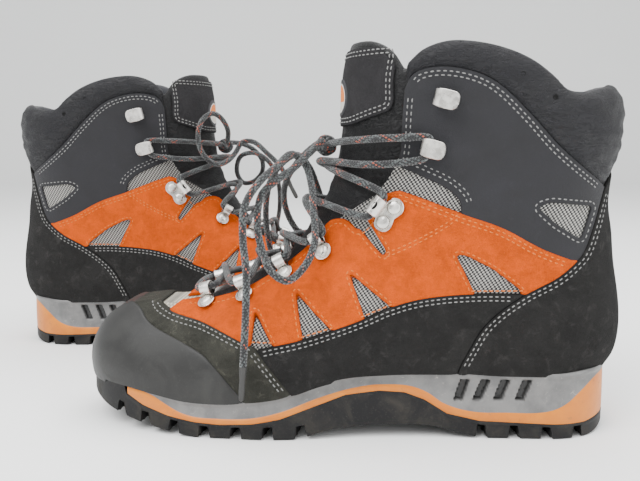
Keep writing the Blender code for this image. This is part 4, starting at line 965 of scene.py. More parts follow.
def make_textile():
    """The woven base that shows in the windows, and the lining inside it."""
    x = GRID.side[:, 0]
    throat = signed(GRID.side, THROAT_REGION)
    tops = [(0, 150), (14, 143), (31, 155), (59, 182), (84, 202), (112, 205), (117, 204)]
    tops += [(121, 156), (400, 156)]
    low_enough = np.interp(x, *zip(*tops)) - GRID.side[:, 1]
    reach = np.interp(x, [118, 140, 228, 240], [3, -3.5, -3.5, 3])
    for name, layer, look, nodes in (
        ("textile", TEXTILE, WEAVE, ("textile_upper",)),
        ("lining", LINING, LINING_CLOTH, ("waterproof_lining",)),
    ):
        distance = np.minimum(np.minimum(low_enough, reach - throat), above_sole(-0.5))
        sheet = Sheet(distance, levels=())
        puff = 0.25 * ripple(sheet.points, 12, 8.1)
        solid = sheet.solid(layer[0], layer[1] + puff)
        for boot in BOTH:
            obj = boot.make(name, solid[0], solid[1], look, solid[2], solid[3])
            boot.stands_for(obj, *nodes)


def make_collar():
    """Padded collar: a rolled top, pinched where it is sewn to the cuff, creased at the back."""
    sheet = Sheet(region(COLLAR, grow=0.4), levels=(0.7, 1.6, 3, 5))
    low, high = COLLAR_LAYER
    middle = (low + high) / 2
    back = ease((60 - sheet.points[:, 0]) / 40)
    folds = ripple(sheet.points, 9, 1.3, (0.5, 0.5, 1.7)) * (0.25 + 0.8 * back)
    roll = dome(sheet.edge / 6.0)
    outer = middle + (high + 1.6 * ease(sheet.edge / 14) - middle) * roll + folds * ease(sheet.edge / 6)
    inner = middle + (low - middle) * roll + 0.3 * ripple(sheet.points, 12, 5.2)
    solid = sheet.solid(inner, outer)
    count = len(sheet.triangles)
    for boot in BOTH:
        obj = boot.make("collar", solid[0], solid[1], COLLAR_LEATHER, solid[2], solid[3], sharp=60)
        obj.data.materials.append(LINING_CLOTH.material)
        slots = np.zeros(len(obj.data.polygons), np.int32)
        slots[count : 2 * count] = 1
        obj.data.polygons.foreach_set("material_index", slots)
        boot.stands_for(obj, "collar")
    make_vents()


VENTS = [(64, 200), (47, 188), (35.5, 176), (26, 163.5)]
VENT_LIFT = 2.6
VENT_RING = [(0.0, 0.25), (0.8, 0.3), (1.2, 0.55), (1.5, 0.2), (1.6, -1.0)]


def make_vents():
    """Small punched breathing holes in the collar, each a dished ring round a bottom, the whole of it near
    black as painted shade standing in for the hole.
    """
    for boot in BOTH:
        parts = []
        for x, z in VENTS:
            for half in (1, -1):
                hit = project([(x, z)], half)
                if not hit:
                    continue
                point, normal = hit[0]
                parts.append(lathe(point + normal * VENT_LIFT, normal, VENT_RING, 12))
        points, faces = merge(parts)
        boot.make("collar_vents", points, faces, HOLE_SHADE)


def make_tongue():
    """The padded tongue: one piece for the tongue and its flap, tucked under the edges of the throat."""
    under = np.interp(GRID.side[:, 0], [118, 140, 228, 240], [4, 9, 9, 4])
    throat = signed(GRID.side, THROAT_REGION) + under
    bound = signed(GRID.side, TONGUE_BOUND)
    distance = np.minimum(throat, bound)
    flat = np.stack([GRID.round, GRID.side[:, 1]], 1)
    sheet = Sheet(distance, levels=(0.7, 1.6, 3), flat=flat)
    low, high = TONGUE_LAYER
    middle = (low + high) / 2
    folds = ripple(sheet.points, 7, 2.2, (1, 0.35, 1.5)) * 0.75 * ease((175 - sheet.points[:, 2]) / 20)
    folds += 0.3 * ripple(sheet.points, 20, 6.2)
    top = signed(sheet.points[:, [0, 2]], TONGUE_BOUND)
    roll = dome(top / 3.5)
    outer = middle + (high - middle) * roll + folds * ease(sheet.edge / 5)
    inner = middle + (low - middle) * roll
    solid = sheet.solid(inner, outer)
    for boot in BOTH:
        obj = boot.make("tongue", solid[0], solid[1], TONGUE_LEATHER, solid[2], solid[3], sharp=60, body=None)
        start, end = boot.world([(160.5, 0, 163)])[0], boot.world([(160.5, 0, 172)])[0]
        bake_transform(obj)
        boot.stands_for(obj, "tongue", "tongue_flap")
    make_patch(flat)


PATCH_LOW, PATCH_HALF, PATCH_TOP = 174, 50, 216.5


def make_patch(flat):
    """The suede patch on the top of the tongue, its two rows of stitches and the round badge."""
    outline = rounded(
        [(-PATCH_HALF, PATCH_LOW + 8), (-20, PATCH_LOW), (20, PATCH_LOW), (PATCH_HALF, PATCH_LOW + 8),
         (PATCH_HALF, PATCH_TOP), (-PATCH_HALF, PATCH_TOP)], 6
    )
    inside = np.minimum(signed(GRID.side, THROAT_REGION) - 0.4, signed(GRID.side, TONGUE_BOUND) - 2.6)
    distance = np.minimum(signed(flat, outline), inside)
    distance[GRID.side[:, 0] < 100] = -BIG
    sheet = Sheet(distance, flat=flat)
    high = 0.1 + 1.0 * (0.4 + 0.6 * dome(sheet.edge / 1.2))
    patch = sheet.solid(-1.2, high)
    away = np.hypot(flat[:, 0] - BADGE_ROUND, flat[:, 1] - BADGE_Z)
    disc = np.where(GRID.side[:, 0] < 100, -BIG, BADGE_R - away)
    disc_sheet = Sheet(disc, flat=flat)
    badge = disc_sheet.solid(0.5, 1.3 + 0.5 * dome(disc_sheet.edge / 1.0))
    rows = []
    for inset in (2.0, 4.2):
        line = [(u, w) for u, w in zip(*closed_inset(outline, inset))]
        spots = [(point, normal) for point, normal in flat_to_surface(line) if point[0] > 128]
        rows.append(stitches(spots, 1.15))
    threads = merge(rows)
    for boot in BOTH:
        boot.make("tongue_patch", patch[0], patch[1], SUEDE_PATCH, patch[2], patch[3], body="flap")
        boot.make("tongue_badge", badge[0], badge[1], BADGE, badge[2], badge[3], body="flap")
        boot.make("tongue_stitches", *threads, THREAD_PALE, body="flap")


def closed_inset(outline, distance):
    """x and z of a closed outline moved inwards, evenly resampled."""
    line = resample(np.array(outline + outline[:1], float), 160)
    step = np.gradient(line, axis=0)
    side = np.stack([-step[:, 1], step[:, 0]], 1) / np.linalg.norm(step, axis=1)[:, None]
    area = np.cross(line[:-1], line[1:]).sum()
    moved = line + side * distance * np.sign(area)
    return moved[:, 0], moved[:, 1]


def flat_to_surface(line):
    """(point, normal) pairs of the upper at distances round from the ridge and heights."""
    rows = np.flatnonzero(GRID.side[:, 0] > 110)
    out = []
    for u, w in line:
        k = rows[np.argmin((GRID.round[rows] - u) ** 2 + (GRID.side[rows, 1] - w) ** 2)]
        near, normal = GRID.points[k], GRID.normals[k]
        ahead = np.array((-normal[1], normal[0], 0)) / math.hypot(normal[0], normal[1])
        out.append((near + (0, 0, w - near[2]) + ahead * (u - GRID.round[k]), normal))
    return out


# ---------------------------------------------------------------- stitches


def project(line, half):
    """(point, normal) of the upper behind each side-view point, as seen from one side."""
    out = []
    for x, z in line:
        hit, normal, _, _ = GRID.tree.ray_cast((x, half * 2 * BIG, z), (0, -half, 0))
        if hit is not None:
            out.append((np.array(hit), np.array(normal)))
    return out


def stitches(line, lift, pitch=3.2, length=2.3, radius=0.3):
    """A row of stitches along (point, normal) pairs, as one set of points and faces."""
    points = np.array([point for point, _ in line])
    normals = np.array([normal for _, normal in line])
    arc = np.r_[0, np.cumsum(np.linalg.norm(np.diff(points, axis=0), axis=1))]
    count = int(arc[-1] / pitch)
    if count < 1:
        return np.zeros((0, 3)), []
    at = lambda values, s: np.stack([np.interp(s, arc, values[:, k]) for k in range(3)], 1)
    starts = (np.arange(count) + 0.5) * arc[-1] / count
    profile = [(-0.5, 0.45), (-0.3, 0.95), (0.0, 1.05), (0.3, 0.95), (0.5, 0.45)]
    turn = np.arange(6) * math.tau / 6
    rings = []
    for share, size in profile:
        here = at(points, starts + share * length)
        up = at(normals, starts)
        up /= np.linalg.norm(up, axis=1)[:, None]
        ahead = at(points, starts + length / 2) - at(points, starts - length / 2)
        ahead /= np.maximum(np.linalg.norm(ahead, axis=1), 1e-6)[:, None]
        side = np.cross(up, ahead)
        sunk = lift + radius * (0.35 - 1.5 * (2 * share) ** 4)
        base = here + up * sunk
        for angle in turn:
            rings.append(base + radius * size * (1.25 * math.cos(angle) * side + math.sin(angle) * up))
    block = np.stack(rings, 1)
    n = block.shape[1]
    one = [tuple(range(6))[::-1], tuple(range(n - 6, n))]
    for ring in range(len(profile) - 1):
        for k in range(6):
            a, b = ring * 6 + k, ring * 6 + (k + 1) % 6
            one.append((a, b, b + 6, a + 6))
    faces = [tuple(index * n + k for k in face) for index in range(count) for face in one]
    return block.reshape(-1, 3), faces


def beside(curve, distance, outline):
    """A side-view curve moved by a distance to the side on which the outline's inside lies."""
    line = np.array(curve, float)
    line = resample(line, max(int(len(line) * 2.5), 12))
    step = np.gradient(line, axis=0)
    side = np.stack([-step[:, 1], step[:, 0]], 1) / np.linalg.norm(step, axis=1)[:, None]
    probe = line + side * 1.5
    inside = (signed(probe[2:-2], outline) > 0).mean() > 0.5
    return line + side * distance * (1 if inside else -1)


def trimmed(line, start=0.0, end=1.0):
    count = len(line)
    return line[int(start * count) : max(int(end * count), 1)]


V_STITCH = [(134.5, 102), (126, 105.5), (114, 111.5), (103, 118), (95, 124)]


def make_stitches():
    """Every sewn row of the upper, pale on grey leather and orange on orange."""
    pale, orange = [], []
    for half in (1, -1):
        for distance in (1.7, 3.9):
            above = beside(SIDE_CURVE, distance, SIDE_BAND)
            pale.append(stitches(project(trimmed(above, 0.02, 0.95), half), OVER[1]))
            edge = beside(HEEL_CURVE[3:], distance, HEEL_REGION)
            edge = [p for p in edge if p[1] > feather(p[0]) + 2]
            pale.append(stitches(project(edge, half), OVER[1]))
            top = beside(CUFF_TOP_CURVE, distance, CUFF)
            pale.append(stitches(project(trimmed(top, 0.04, 0.97), half), UNDER[1]))
            front = beside(CUFF_FRONT_CURVE, distance, CUFF)
            pale.append(stitches(project(trimmed(front, 0.05, 0.92), half), UNDER[1]))
            low = beside(CUFF_BOTTOM_CURVE, distance + 1.4, CUFF)
            pale.append(stitches(project(trimmed(low, 0.03, 0.9), half), UNDER[1]))
            vamp = beside(VAMP_CURVE, distance, VAMP)
            pale.append(stitches(project(trimmed(vamp, 0.1, 0.98), half), UNDER[1]))
            seam = beside(VAMP_SEAM_CURVE, distance, VAMP)
            seam = [p for p in seam if p[1] > feather(p[0]) + 1.5]
            pale.append(stitches(project(seam, half), UNDER[1]))
            saddle_top = beside(SADDLE_TOP_CURVE, distance, SADDLE)
            orange.append(stitches(project(trimmed(saddle_top, 0.05, 1.0), half), SADDLE_LAYER[1]))
            line = np.array(curved(V_STITCH)) + np.array((0, distance - 1.7))
            orange.append(stitches(project(line, half), SADDLE_LAYER[1]))
        throat = beside(SADDLE_FRONT_CURVE, 2.4, SADDLE)
        orange.append(stitches(project(trimmed(throat, 0.0, 0.93), half), SADDLE_LAYER[1]))
        x, z = closed_inset(rounded(CUFF_WINDOW, 2.6), -2.4)
        clear = [p for p in zip(x, z) if signed(np.array([p]), HEEL_REGION)[0] < -1.5]
        pale.append(stitches(project(clear, half), UNDER[1]))
        for window in SADDLE_WINDOWS + [SADDLE_SLIT]:
            x, z = closed_inset(rounded(window, 2.6), -2.0)
            line = [p for p in zip(x, z) if signed(np.array([p]), SADDLE)[0] > 1.2]
            orange.append(stitches(project(line, half), SADDLE_LAYER[1]))
    sewn = (("pale_stitches", pale, THREAD_PALE), ("orange_stitches", orange, THREAD_ORANGE))
    for name, rows, look in sewn:
        points, faces = merge([row for row in rows if len(row[1])])
        for boot in BOTH:
            boot.make(name, points, faces, look, sharp=80)


# ---------------------------------------------------------------- sole


def stations(start, end, step=0.85, fine=14):
    """Places along x, closer together towards the round ends."""
    turn = np.linspace(0, math.pi / 2, fine, endpoint=False)
    ends = 12 * (1 - np.cos(turn))
    middle = np.linspace(start + 12, end - 12, int((end - start - 24) / step))
    return np.concatenate([start + ends, middle, (end - ends)[::-1]])


def sole_half(x, z):
    """Half-width of the sole: rounded in plan at heel and toe, drawn in a little at the top."""
    width = smooth(x, SOLE_X, SOLE_HALF) - 1.5 * z / 38
    ends = dome((x - SOLE_BACK + 0.4) / SOLE_HEEL_ROUND) * dome((SOLE_FRONT + 0.4 - x) / SOLE_TOE_ROUND)
    return np.maximum(width * ends, 0.3)


def loft(sections):
    """Points and faces of a closed loft through equal rings of points."""
    count, ring = sections.shape[:2]
    points = sections.reshape(-1, 3)
    k = np.arange(ring)
    faces = []
    for row in range(count - 1):
        a, b = row * ring + k, row * ring + np.roll(k, -1)
        faces += np.stack([a, b, b + ring, a + ring], 1).tolist()
    faces += [list(range(ring))[::-1], list(range((count - 1) * ring, count * ring))]
    a, b, c = (points[np.array([face[i] for face in faces[:-2]])] for i in (0, 1, 2))
    if np.einsum("ij,ij->i", a, np.cross(b, c)).sum() < 0:
        faces = [face[::-1] for face in faces]
    return points, faces


def grooves(x, y):
    """How deep in a tread groove each point is, 0 on a lug and 1 at the bottom of a groove."""
    out = np.zeros_like(y)
    side = y - centre(x)
    away = np.abs(side)
    wall = 0.7
    for places, skew, span in ((FORE_GROOVES, 6, FORE_TREAD), (HEEL_GROOVES, -4, HEEL_TREAD)):
        for place in places:
            shift = np.where(side > 0, 0, 4)
            line = place + shift + skew * (away - RAIL_Y) / (BIG - RAIL_Y)
            across = ease((GROOVE_WIDTH / 2 + 0.5 * away / BIG - np.abs(x - line)) / wall + 0.5)
            out = np.maximum(out, across * ease((away - RAIL_Y) / wall + 0.5))
        rail = ease((1.5 - np.abs(away - RAIL_Y)) / wall + 0.5)
        out = np.maximum(out, rail * ease((x - span[0]) / 2) * ease((span[1] - x) / 2) * 0.8)
        middle = ease((6.5 - away) / wall + 0.5) * ease((x - span[0]) / 2) * ease((span[1] - x) / 2)
        sipes = ease((0.55 - np.abs((x - span[0]) % 9 - 4.5)) / 0.4 + 0.5)
        out = np.maximum(out, middle * sipes * 0.35)
    return out


def make_outsole():
    """Lugged outsole with deep side notches, chamfered lug edges and a toe bumper."""
    xs = stations(SOLE_BACK, SOLE_FRONT)
    across = np.sin(np.linspace(-math.pi / 2, math.pi / 2, 97) * 0.96) / math.sin(math.pi / 2 * 0.96)
    climb = np.linspace(0, 1, 13)[1:]
    rings = []
    for x in xs:
        low, top, mid = float(lug_bottom(x)), float(outsole_top(x)), float(centre(x))
        half = float(sole_half(x, low))
        depth = float(np.clip(top - low - 1.6, 1.5, 7.6))
        y = mid + half * across
        cut = grooves(np.full_like(y, x), y)
        from_side = half - np.abs(y - mid)
        chamfer = 1.0 * (1 - dome(from_side / 1.3))
        bottom = low + cut * depth + chamfer * (1 - cut)
        ring = [np.stack([np.full_like(y, x), y, bottom], 1)]
        for sign, edge, order in ((1, bottom[-1], climb), (-1, bottom[0], climb[::-1])):
            z = edge + (top - edge) * order
            lip = 0.5 * np.exp(-(((top - z) - 1.2) / 0.8) ** 2)
            side = mid + sign * (sole_half(x, z) + lip * min(half / 12, 1))
            ring.append(np.stack([np.full_like(z, x), side, z], 1))
        rings.append(np.vstack(ring))
    points, faces = loft(np.array(rings))
    for boot in BOTH:
        boot.stands_for(boot.make("outsole", points, faces, TREAD_RUBBER, sharp=50), "outsole")


def side_loft(xs, low, high, profile, levels=21):
    """A sole layer: its two sides follow a profile, and its top and bottom are flat across."""
    rings, pits = [], []
    t = np.linspace(0, 1, levels)
    for x in xs:
        z = float(low(x)) + (float(high(x)) - float(low(x))) * t
        mid, half = float(centre(x)), sole_half(x, z)
        out, pit = profile(x, z, t)
        room = np.minimum(half / 14, 1)
        lateral = np.stack([np.full_like(z, x), mid + half + out * room, z], 1)
        medial = np.stack([np.full_like(z, x), mid - half - out * room, z], 1)[::-1]
        rings.append(np.vstack([lateral, medial]))
        pits.append(np.concatenate([pit, pit[::-1]]))
    points, faces = loft(np.array(rings))
    return points, faces, np.concatenate(pits)


def foam_profile(_x, _z, t):
    """The foam swells a little between its edges."""
    return 0.7 * np.sin(np.clip(t, 0, 1) * math.pi) ** 0.7 - 0.1, np.zeros_like(t)


def slot_depth(x, z):
    """How far into one of the slanted heel slots a side point is, in mm."""
    best = np.zeros_like(z)
    for top_x, low_x in FRAME_SLOTS:
        share = (z - SLOT_LOW) / (SLOT_TOP - SLOT_LOW)
        line = low_x + (top_x - low_x) * share
        inside = np.minimum(SLOT_WIDTH / 2 - np.abs(x - line), np.minimum(z - SLOT_LOW, SLOT_TOP - z))
        best = np.maximum(best, SLOT_DEPTH * ease(inside / 1.0))
    return best


def frame_profile(x, z, t):
    """The frame has a rounded top bead, a shallow waist and four slanted slots at the heel."""
    tall = np.clip((float(z[-1]) - float(z[0])) / 12, 0.15, 1)
    waist = -0.9 * tall * np.sin(np.clip(t * 1.15, 0, 1) * math.pi)
    bead = 0.7 * np.exp(-(((z[-1] - z) - 1.6) / 1.1) ** 2)
    depth = slot_depth(x, z)
    return waist + bead - depth, depth


def make_midsole():
    xs = stations(*MIDSOLE_SPAN)
    foam_points, foam_faces, _ = side_loft(xs, lambda x: outsole_top(x) - 0.3, midsole_top, foam_profile, 11)
    frame_low = lambda x: midsole_top(x) - 0.2
    # pits is the depth into the heel slots; the frame's material darkens with it as painted shade
    frame_points, frame_faces, pits = side_loft(xs, frame_low, feather, frame_profile, 25)
    for boot in BOTH:
        boot.stands_for(boot.make("midsole", foam_points, foam_faces, FOAM, sharp=45), "midsole")
        obj = boot.make("midsole_frame", frame_points, frame_faces, FRAME_PLASTIC, edge=pits, sharp=45)
        boot.stands_for(obj, "midsole_frame")


# ---------------------------------------------------------------- lacing hardware


def on_surface(x, z, half):
    """(point, normal) of the upper at a side-view place."""
    hit, _, index, _ = GRID.tree.ray_cast((x, half * 2 * BIG, z), (0, -half, 0))
    normal = GRID.normals[GRID.triangles[index]].mean(0)
    return np.array(hit), normal / np.linalg.norm(normal)


def fitting_frame(x, z, half, along_x, along_z):
    """(origin, across, along, normal) at a rivet: along runs up the throat, across points into it."""
    point, normal = on_surface(x, z, half)
    ahead, _ = on_surface(x + along_x, z + along_z, half)
    along_axis = ahead - point
    along_axis -= normal * (along_axis @ normal)
    along_axis /= np.linalg.norm(along_axis)
    return point, half * np.cross(normal, along_axis), along_axis, normal


def to_local(axes, a, b, c):
    """Local millimetres from across, along and normal distances at a fitting."""
    origin, across, along_axis, normal = axes
    return origin + a * across + b * along_axis + c * normal


def towards(places, index):
    low, high = max(index - 1, 0), min(index + 1, len(places) - 1)
    return places[high][0] - places[low][0], places[high][1] - places[low][1]


def loop_frames(half):
    rows = enumerate(LOOP_RIVETS)
    return [fitting_frame(x, z, half, *np.array(towards(LOOP_RIVETS, k)) * 0.2) for k, (x, z) in rows]


def hook_frames(half):
    return [fitting_frame(x, z, half, -1.2, 5) for x, z in HOOK_RIVETS]


def clamp_frame(half):
    (x0, z0), (x1, z1) = CLAMP_RIVETS
    return fitting_frame((x0 + x1) / 2, (z0 + z1) / 2, half, (x0 - x1) * 0.3, (z0 - z1) * 0.3)


def lathe(origin, axis, profile, sides=20):
    """A turned shape from (radius, height) pairs, closed at the axis where the radius is 0."""
    axis = np.array(axis, float)
    first = np.cross(axis, (0, 0, 1) if abs(axis[2]) < 0.9 else (1, 0, 0))
    first /= np.linalg.norm(first)
    second = np.cross(axis, first)
    turn = np.arange(sides) * math.tau / sides
    points = []
    for radius, height in profile:
        ring = np.outer(np.cos(turn), first) + np.outer(np.sin(turn), second)
        points.append(origin + axis * height + radius * ring)
    faces = []
    for ring in range(len(profile) - 1):
        for k in range(sides):
            a, b = ring * sides + k, ring * sides + (k + 1) % sides
            faces.append((a, a + sides, b + sides, b))
    last = (len(profile) - 1) * sides
    faces += [tuple(range(sides)), tuple(range(last, last + sides))[::-1]]
    return np.vstack(points), faces


def rivet_head(axes, a, b, base, radius=3.5):
    """A domed rivet head with a flat flange."""
    profile = [(0.05, base + 1.75)]
    for t in np.linspace(0.2, 1, 6):
        angle = t * math.pi / 2
        profile.append((radius * 0.78 * math.sin(angle), base + 0.75 + 1.0 * math.cos(angle)))
    profile += [(radius * 0.82, base + 0.3), (radius * 0.88, base + 0.62), (radius * 0.97, base + 0.6)]
    profile += [(radius, base + 0.35), (radius, base - 0.4)]
    return lathe(to_local(axes, a, b, 0), axes[3], profile)


def strip(path, thickness):
    path = np.array(path, float)
    step = np.gradient(path, axis=0)
    side = np.stack([-step[:, 1], step[:, 0]], 1) / np.linalg.norm(step, axis=1)[:, None]
    return np.vstack([path + side * thickness / 2, (path - side * thickness / 2)[::-1]])


def arc(middle, radius, start_deg, end_deg, count):
    turn = np.radians(np.linspace(start_deg, end_deg, count))
    return [(middle[0] + radius * math.cos(t), middle[1] + radius * math.sin(t)) for t in turn]


def bent_sheet(axes, path, thickness, widths):
    """A strip of sheet metal bent along a path of (across, height), with a width at each point."""
    path = np.array(path, float)
    step = np.gradient(path, axis=0)
    side = np.stack([-step[:, 1], step[:, 0]], 1) / np.linalg.norm(step, axis=1)[:, None]
    bevel = thickness * 0.28
    rings = []
    for (a, c), (sa, sc), width in zip(path, side, widths):
        half, t = width / 2, thickness / 2
        ring = [
            (-half + bevel, t), (-half, t - bevel), (-half, -t + bevel), (-half + bevel, -t),
            (half - bevel, -t), (half, -t + bevel), (half, t - bevel), (half - bevel, t),
        ]
        rings.append([to_local(axes, a + sa * out, b, c + sc * out) for b, out in ring])
    return loft(np.array(rings))


def plate_with_lobes(axes, lobes, lobe_r, reach, neck, base, thickness):
    """The flat plate under the rivets: a round lobe round each rivet and a neck to the roll."""
    start, end = np.array(lobes[0], float), np.array(lobes[-1], float)
    outline = arc(end, lobe_r, 40, 200, 12)
    if len(lobes) > 1:
        middle = (start + end) / 2
        outline.append(tuple(middle + np.array((-lobe_r * 0.72, 0))))
    outline += arc(start, lobe_r, 160, 320, 12)
    outline += [(reach * 0.62, start[1] * 0.4 - neck * 0.5), (reach, -neck / 2)]
    outline += [(reach, neck / 2), (reach * 0.62, end[1] * 0.4 + neck * 0.5)]
    n = len(outline)
    middle = np.mean(outline, axis=0)
    points, faces = [], []
    for inset, height in ((0.35, 0), (0, 0.3), (0, thickness - 0.3), (0.35, thickness)):
        for p in outline:
            away = np.array(p) - middle
            q = np.array(p) - away / np.linalg.norm(away) * inset
            points.append(to_local(axes, q[0], q[1], base + height))
    for level in range(3):
        for k in range(n):
            a, b = level * n + k, level * n + (k + 1) % n
            faces.append((a, b, b + n, a + n))
    faces += [tuple(range(n))[::-1], tuple(range(3 * n, 4 * n))]
    return np.array(points), faces


def outward(points, faces):
    """The same faces, turned so that they face out."""
    mesh = bpy.data.meshes.new("scratch")
    mesh.from_pydata(np.asarray(points).tolist(), [], faces)
    bm = bmesh.new()
    bm.from_mesh(mesh)
    bmesh.ops.recalc_face_normals(bm, faces=bm.faces)
    out = [tuple(v.index for v in face.verts) for face in bm.faces]
    bm.free()
    bpy.data.meshes.remove(mesh)
    return points, out


def roll_path(reach, base, radius, start=-80, end=215):
    path = [(reach - 3.2, base), (reach - 1.6, base)]
    return path + arc((reach, base + radius), radius, start, end, 16)


def clamp_parts(half):
    """Rolled tunnel with an oval opening, on a plate with two rivets."""
    axes = clamp_frame(half)
    gap = np.hypot(*np.subtract(*CLAMP_RIVETS)) / 2
    base = PLATE_UNDER + SHEET / 2
    path = roll_path(7.5, base, TUNNEL_R)
    parts = [
        plate_with_lobes(axes, [(0, -gap), (0, gap)], 5.3, 5.4, 10, PLATE_UNDER, SHEET),
        bent_sheet(axes, path, SHEET, np.full(len(path), 10.4)),
        rivet_head(axes, 0, gap, PLATE_UNDER + SHEET, 4.6),
        rivet_head(axes, 0, -gap, PLATE_UNDER + SHEET, 4.6),
    ]
    return parts, oval_mark(axes, 7.5, base + TUNNEL_R, TUNNEL_R + SHEET / 2)


def oval_mark(axes, a, c, radius):
    """The oval opening pressed into the outer face of a roll, drawn as a dark oval of painted shade standing
    for the hollow behind it.
    """
    turn = np.arange(20) * math.tau / 20
    rings = []
    for size, lift in ((1.0, -0.6), (1.0, 0.04), (0.8, 0.03), (0.05, 0.0)):
        ring = []
        for t in turn:
            b, swing = 2.3 * size * math.sin(t), math.radians(80) + 0.34 * size * math.cos(t)
            out = radius + lift
            ring.append(to_local(axes, a - 0.2 + out * math.cos(swing), b, c + out * math.sin(swing)))
        rings.append(ring)
    return loft(np.array(rings))


def loop_parts(axes):
    base = PLATE_UNDER + SHEET / 2
    path = roll_path(LOOP_REACH, base, LOOP_RING_R - 0.2)
    widths = np.interp(np.arange(len(path)), [0, 3, 10, len(path) - 1], [7.2, 6.8, 6.4, 6.0])
    return [
        plate_with_lobes(axes, [(-1.6, 0)], 5.2, LOOP_REACH - 1.8, 7.2, PLATE_UNDER, SHEET),
        bent_sheet(axes, path, SHEET, widths),
        rivet_head(axes, -1.6, 0, PLATE_UNDER + SHEET, 4.4),
    ]


def hook_parts(axes):
    """A speed hook: riveted foot, and a broad cupped tongue that curls back over the lace."""
    base = PLATE_UNDER + SHEET / 2
    path = [(-4.4, base), (-2, base), (1, base), (3.4, base)]
    path += arc((4.3, base + HOOK_R), HOOK_R, -70, 90, 12)
    tip = [(2.2, 0.1), (-0.5, 0.25), (-2.6, 0.7), (-3.9, 1.1), (-4.7, 1.4), (-5.1, 1.55)]
    path += [(across, base + 2 * HOOK_R + rise) for across, rise in tip]
    places, sizes = [0, 2, 5, 11, 16, 18, 19, 20, 21], [6.5, 8.6, 8.0, 8.8, 10, 9.6, 8.2, 6.2, 3.0]
    widths = np.interp(np.arange(len(path)), places, sizes)
    return [bent_sheet(axes, path, SHEET, widths), rivet_head(axes, -0.6, 0, PLATE_UNDER + SHEET * 0.4, 3.2)]


def make_fittings():
    for side, half in SIDES:
        clamp, mark = clamp_parts(half)
        sets = [
            (f"clamp_{side}", clamp),
            (f"eyelet_row_{side}", [part for axes in loop_frames(half) for part in loop_parts(axes)]),
            (f"hooks_{side}", [part for axes in hook_frames(half) for part in hook_parts(axes)]),
        ]
        for name, parts in sets:
            points, faces = outward(*merge(parts))
            for boot in BOTH:
                boot.stands_for(boot.make(name, points, faces, STEEL, sharp=35), name)
        # the clamp's opening is a dark oval of painted shade
        points, faces = outward(*mark)
        for boot in BOTH:
            boot.make(f"clamp_opening_{side}", points, faces, HOLE_SHADE)


# ---------------------------------------------------------------- laces


def keep_off(line, clearance):
    """Pushes the points of a line out to at least this clearance from the upper."""
    out = []
    for point in line:
        spot, normal, _, away = GRID.tree.find_nearest(Vector(point))
        if (Vector(point) - spot).dot(normal) < 0:
            away = -away
        out.append(point if away >= clearance else np.array(spot + normal * clearance))
    out = np.array(out)
    for _ in range(3):
        out[1:-1] = (out[:-2] + 2 * out[1:-1] + out[2:]) / 4
    return out


def over_ridge(x, z, lift):
    """A point this far above the front ridge of the tongue, where the ridge is nearest to (x, z)."""
    k = int(np.argmin(np.hypot(FRONT[:, 0] - x, FRONT[:, 1] - z)))
    tangent = FRONT[k + 2] - FRONT[k - 2]
    normal = np.array((tangent[1], 0, -tangent[0])) / np.linalg.norm(tangent)
    return np.array((FRONT[k, 0], float(centre(FRONT[k, 0])), FRONT[k, 1])) + lift * normal


def crossing(start, end, low):
    middle = (start[0] + end[0]) / 2
    return over_ridge(middle[0], middle[2], LACE_OFF_SKIN if low else LACE_OFF_SKIN + 4.6)


def held_half(half, under):
    """Route of one half of the lace, from the toe up: under and over by turns where the halves cross."""
    loops = {side: loop_frames(side) for side in (1, -1)}
    route, side = [], half
    for k in range(len(LOOP_RIVETS)):
        axes = loops[side][k]
        route += [to_local(axes, LOOP_REACH + a, b, LOOP_HEIGHT) for a, b in LOOP_GUIDES]
        if k + 1 < len(LOOP_RIVETS):
            route.append(crossing(axes, loops[-side][k + 1], under == (k % 2 == 0)))
        side = -side
    last, clamp = loops[-side][-1], clamp_frame(side)
    level = CAD_PLATE_UNDER + SHEET / 2
    route.append(crossing(last, clamp, under))
    route += [to_local(clamp, a, b, level + TUNNEL_R) for a, b in TUNNEL_GUIDES]
    hook = hook_frames(-side)[0]
    route.append(over_ridge(163, 151, 5.2 if under else 9.8))
    for share in (0.35, 0.7):
        spot, normal = on_surface(160 - 44 * share, 151 + 3 * share, -side)
        route.append(spot + normal * 5.0)
    route += [to_local(hook, 4.0, b, level + HOOK_R) for b in (-5, -1.5, 1.5, 5)]
    for share in (0.3, 0.65):
        spot, normal = on_surface(113 + 44 * share, 168 - 3 * share, -side)
        route.append(spot + normal * 5.2)
    route.append(KNOT + np.array((-2, -side * 6.5, 1)))
    return route


def tube(line, radius, sides=16, relief=0.1):
    """A braided round tube along points about a millimetre apart: points, faces and flat coordinates."""
    tangents = np.gradient(line, axis=0)
    tangents /= np.linalg.norm(tangents, axis=1)[:, None]
    side = np.cross(tangents[0], (0, 0, 1) if abs(tangents[0][2]) < 0.9 else (1, 0, 0))
    side /= np.linalg.norm(side)
    arc_mm = np.r_[0, np.cumsum(np.linalg.norm(np.diff(line, axis=0), axis=1))]
    turn = np.arange(sides + 1) * math.tau / sides
    points, flat = [], []
    for k, (point, tangent) in enumerate(zip(line, tangents)):
        side = side - tangent * (side @ tangent)
        side /= np.linalg.norm(side)
        other = np.cross(tangent, side)
        knit = np.cos(8 * turn + arc_mm[k] * 2.7) * np.cos(8 * turn - arc_mm[k] * 2.7)
        size = radius * (1 - relief * 0.5 + relief * 0.5 * knit)
        if k in (0, len(line) - 1):
            size = size * 0.82
        ring = point + size[:, None] * (np.outer(np.cos(turn), side) + np.outer(np.sin(turn), other))
        points.append(ring)
        flat.append(np.stack([np.full(sides + 1, arc_mm[k]), turn / math.tau], 1))
    return seam_faces(np.array(points), np.array(flat), sides)


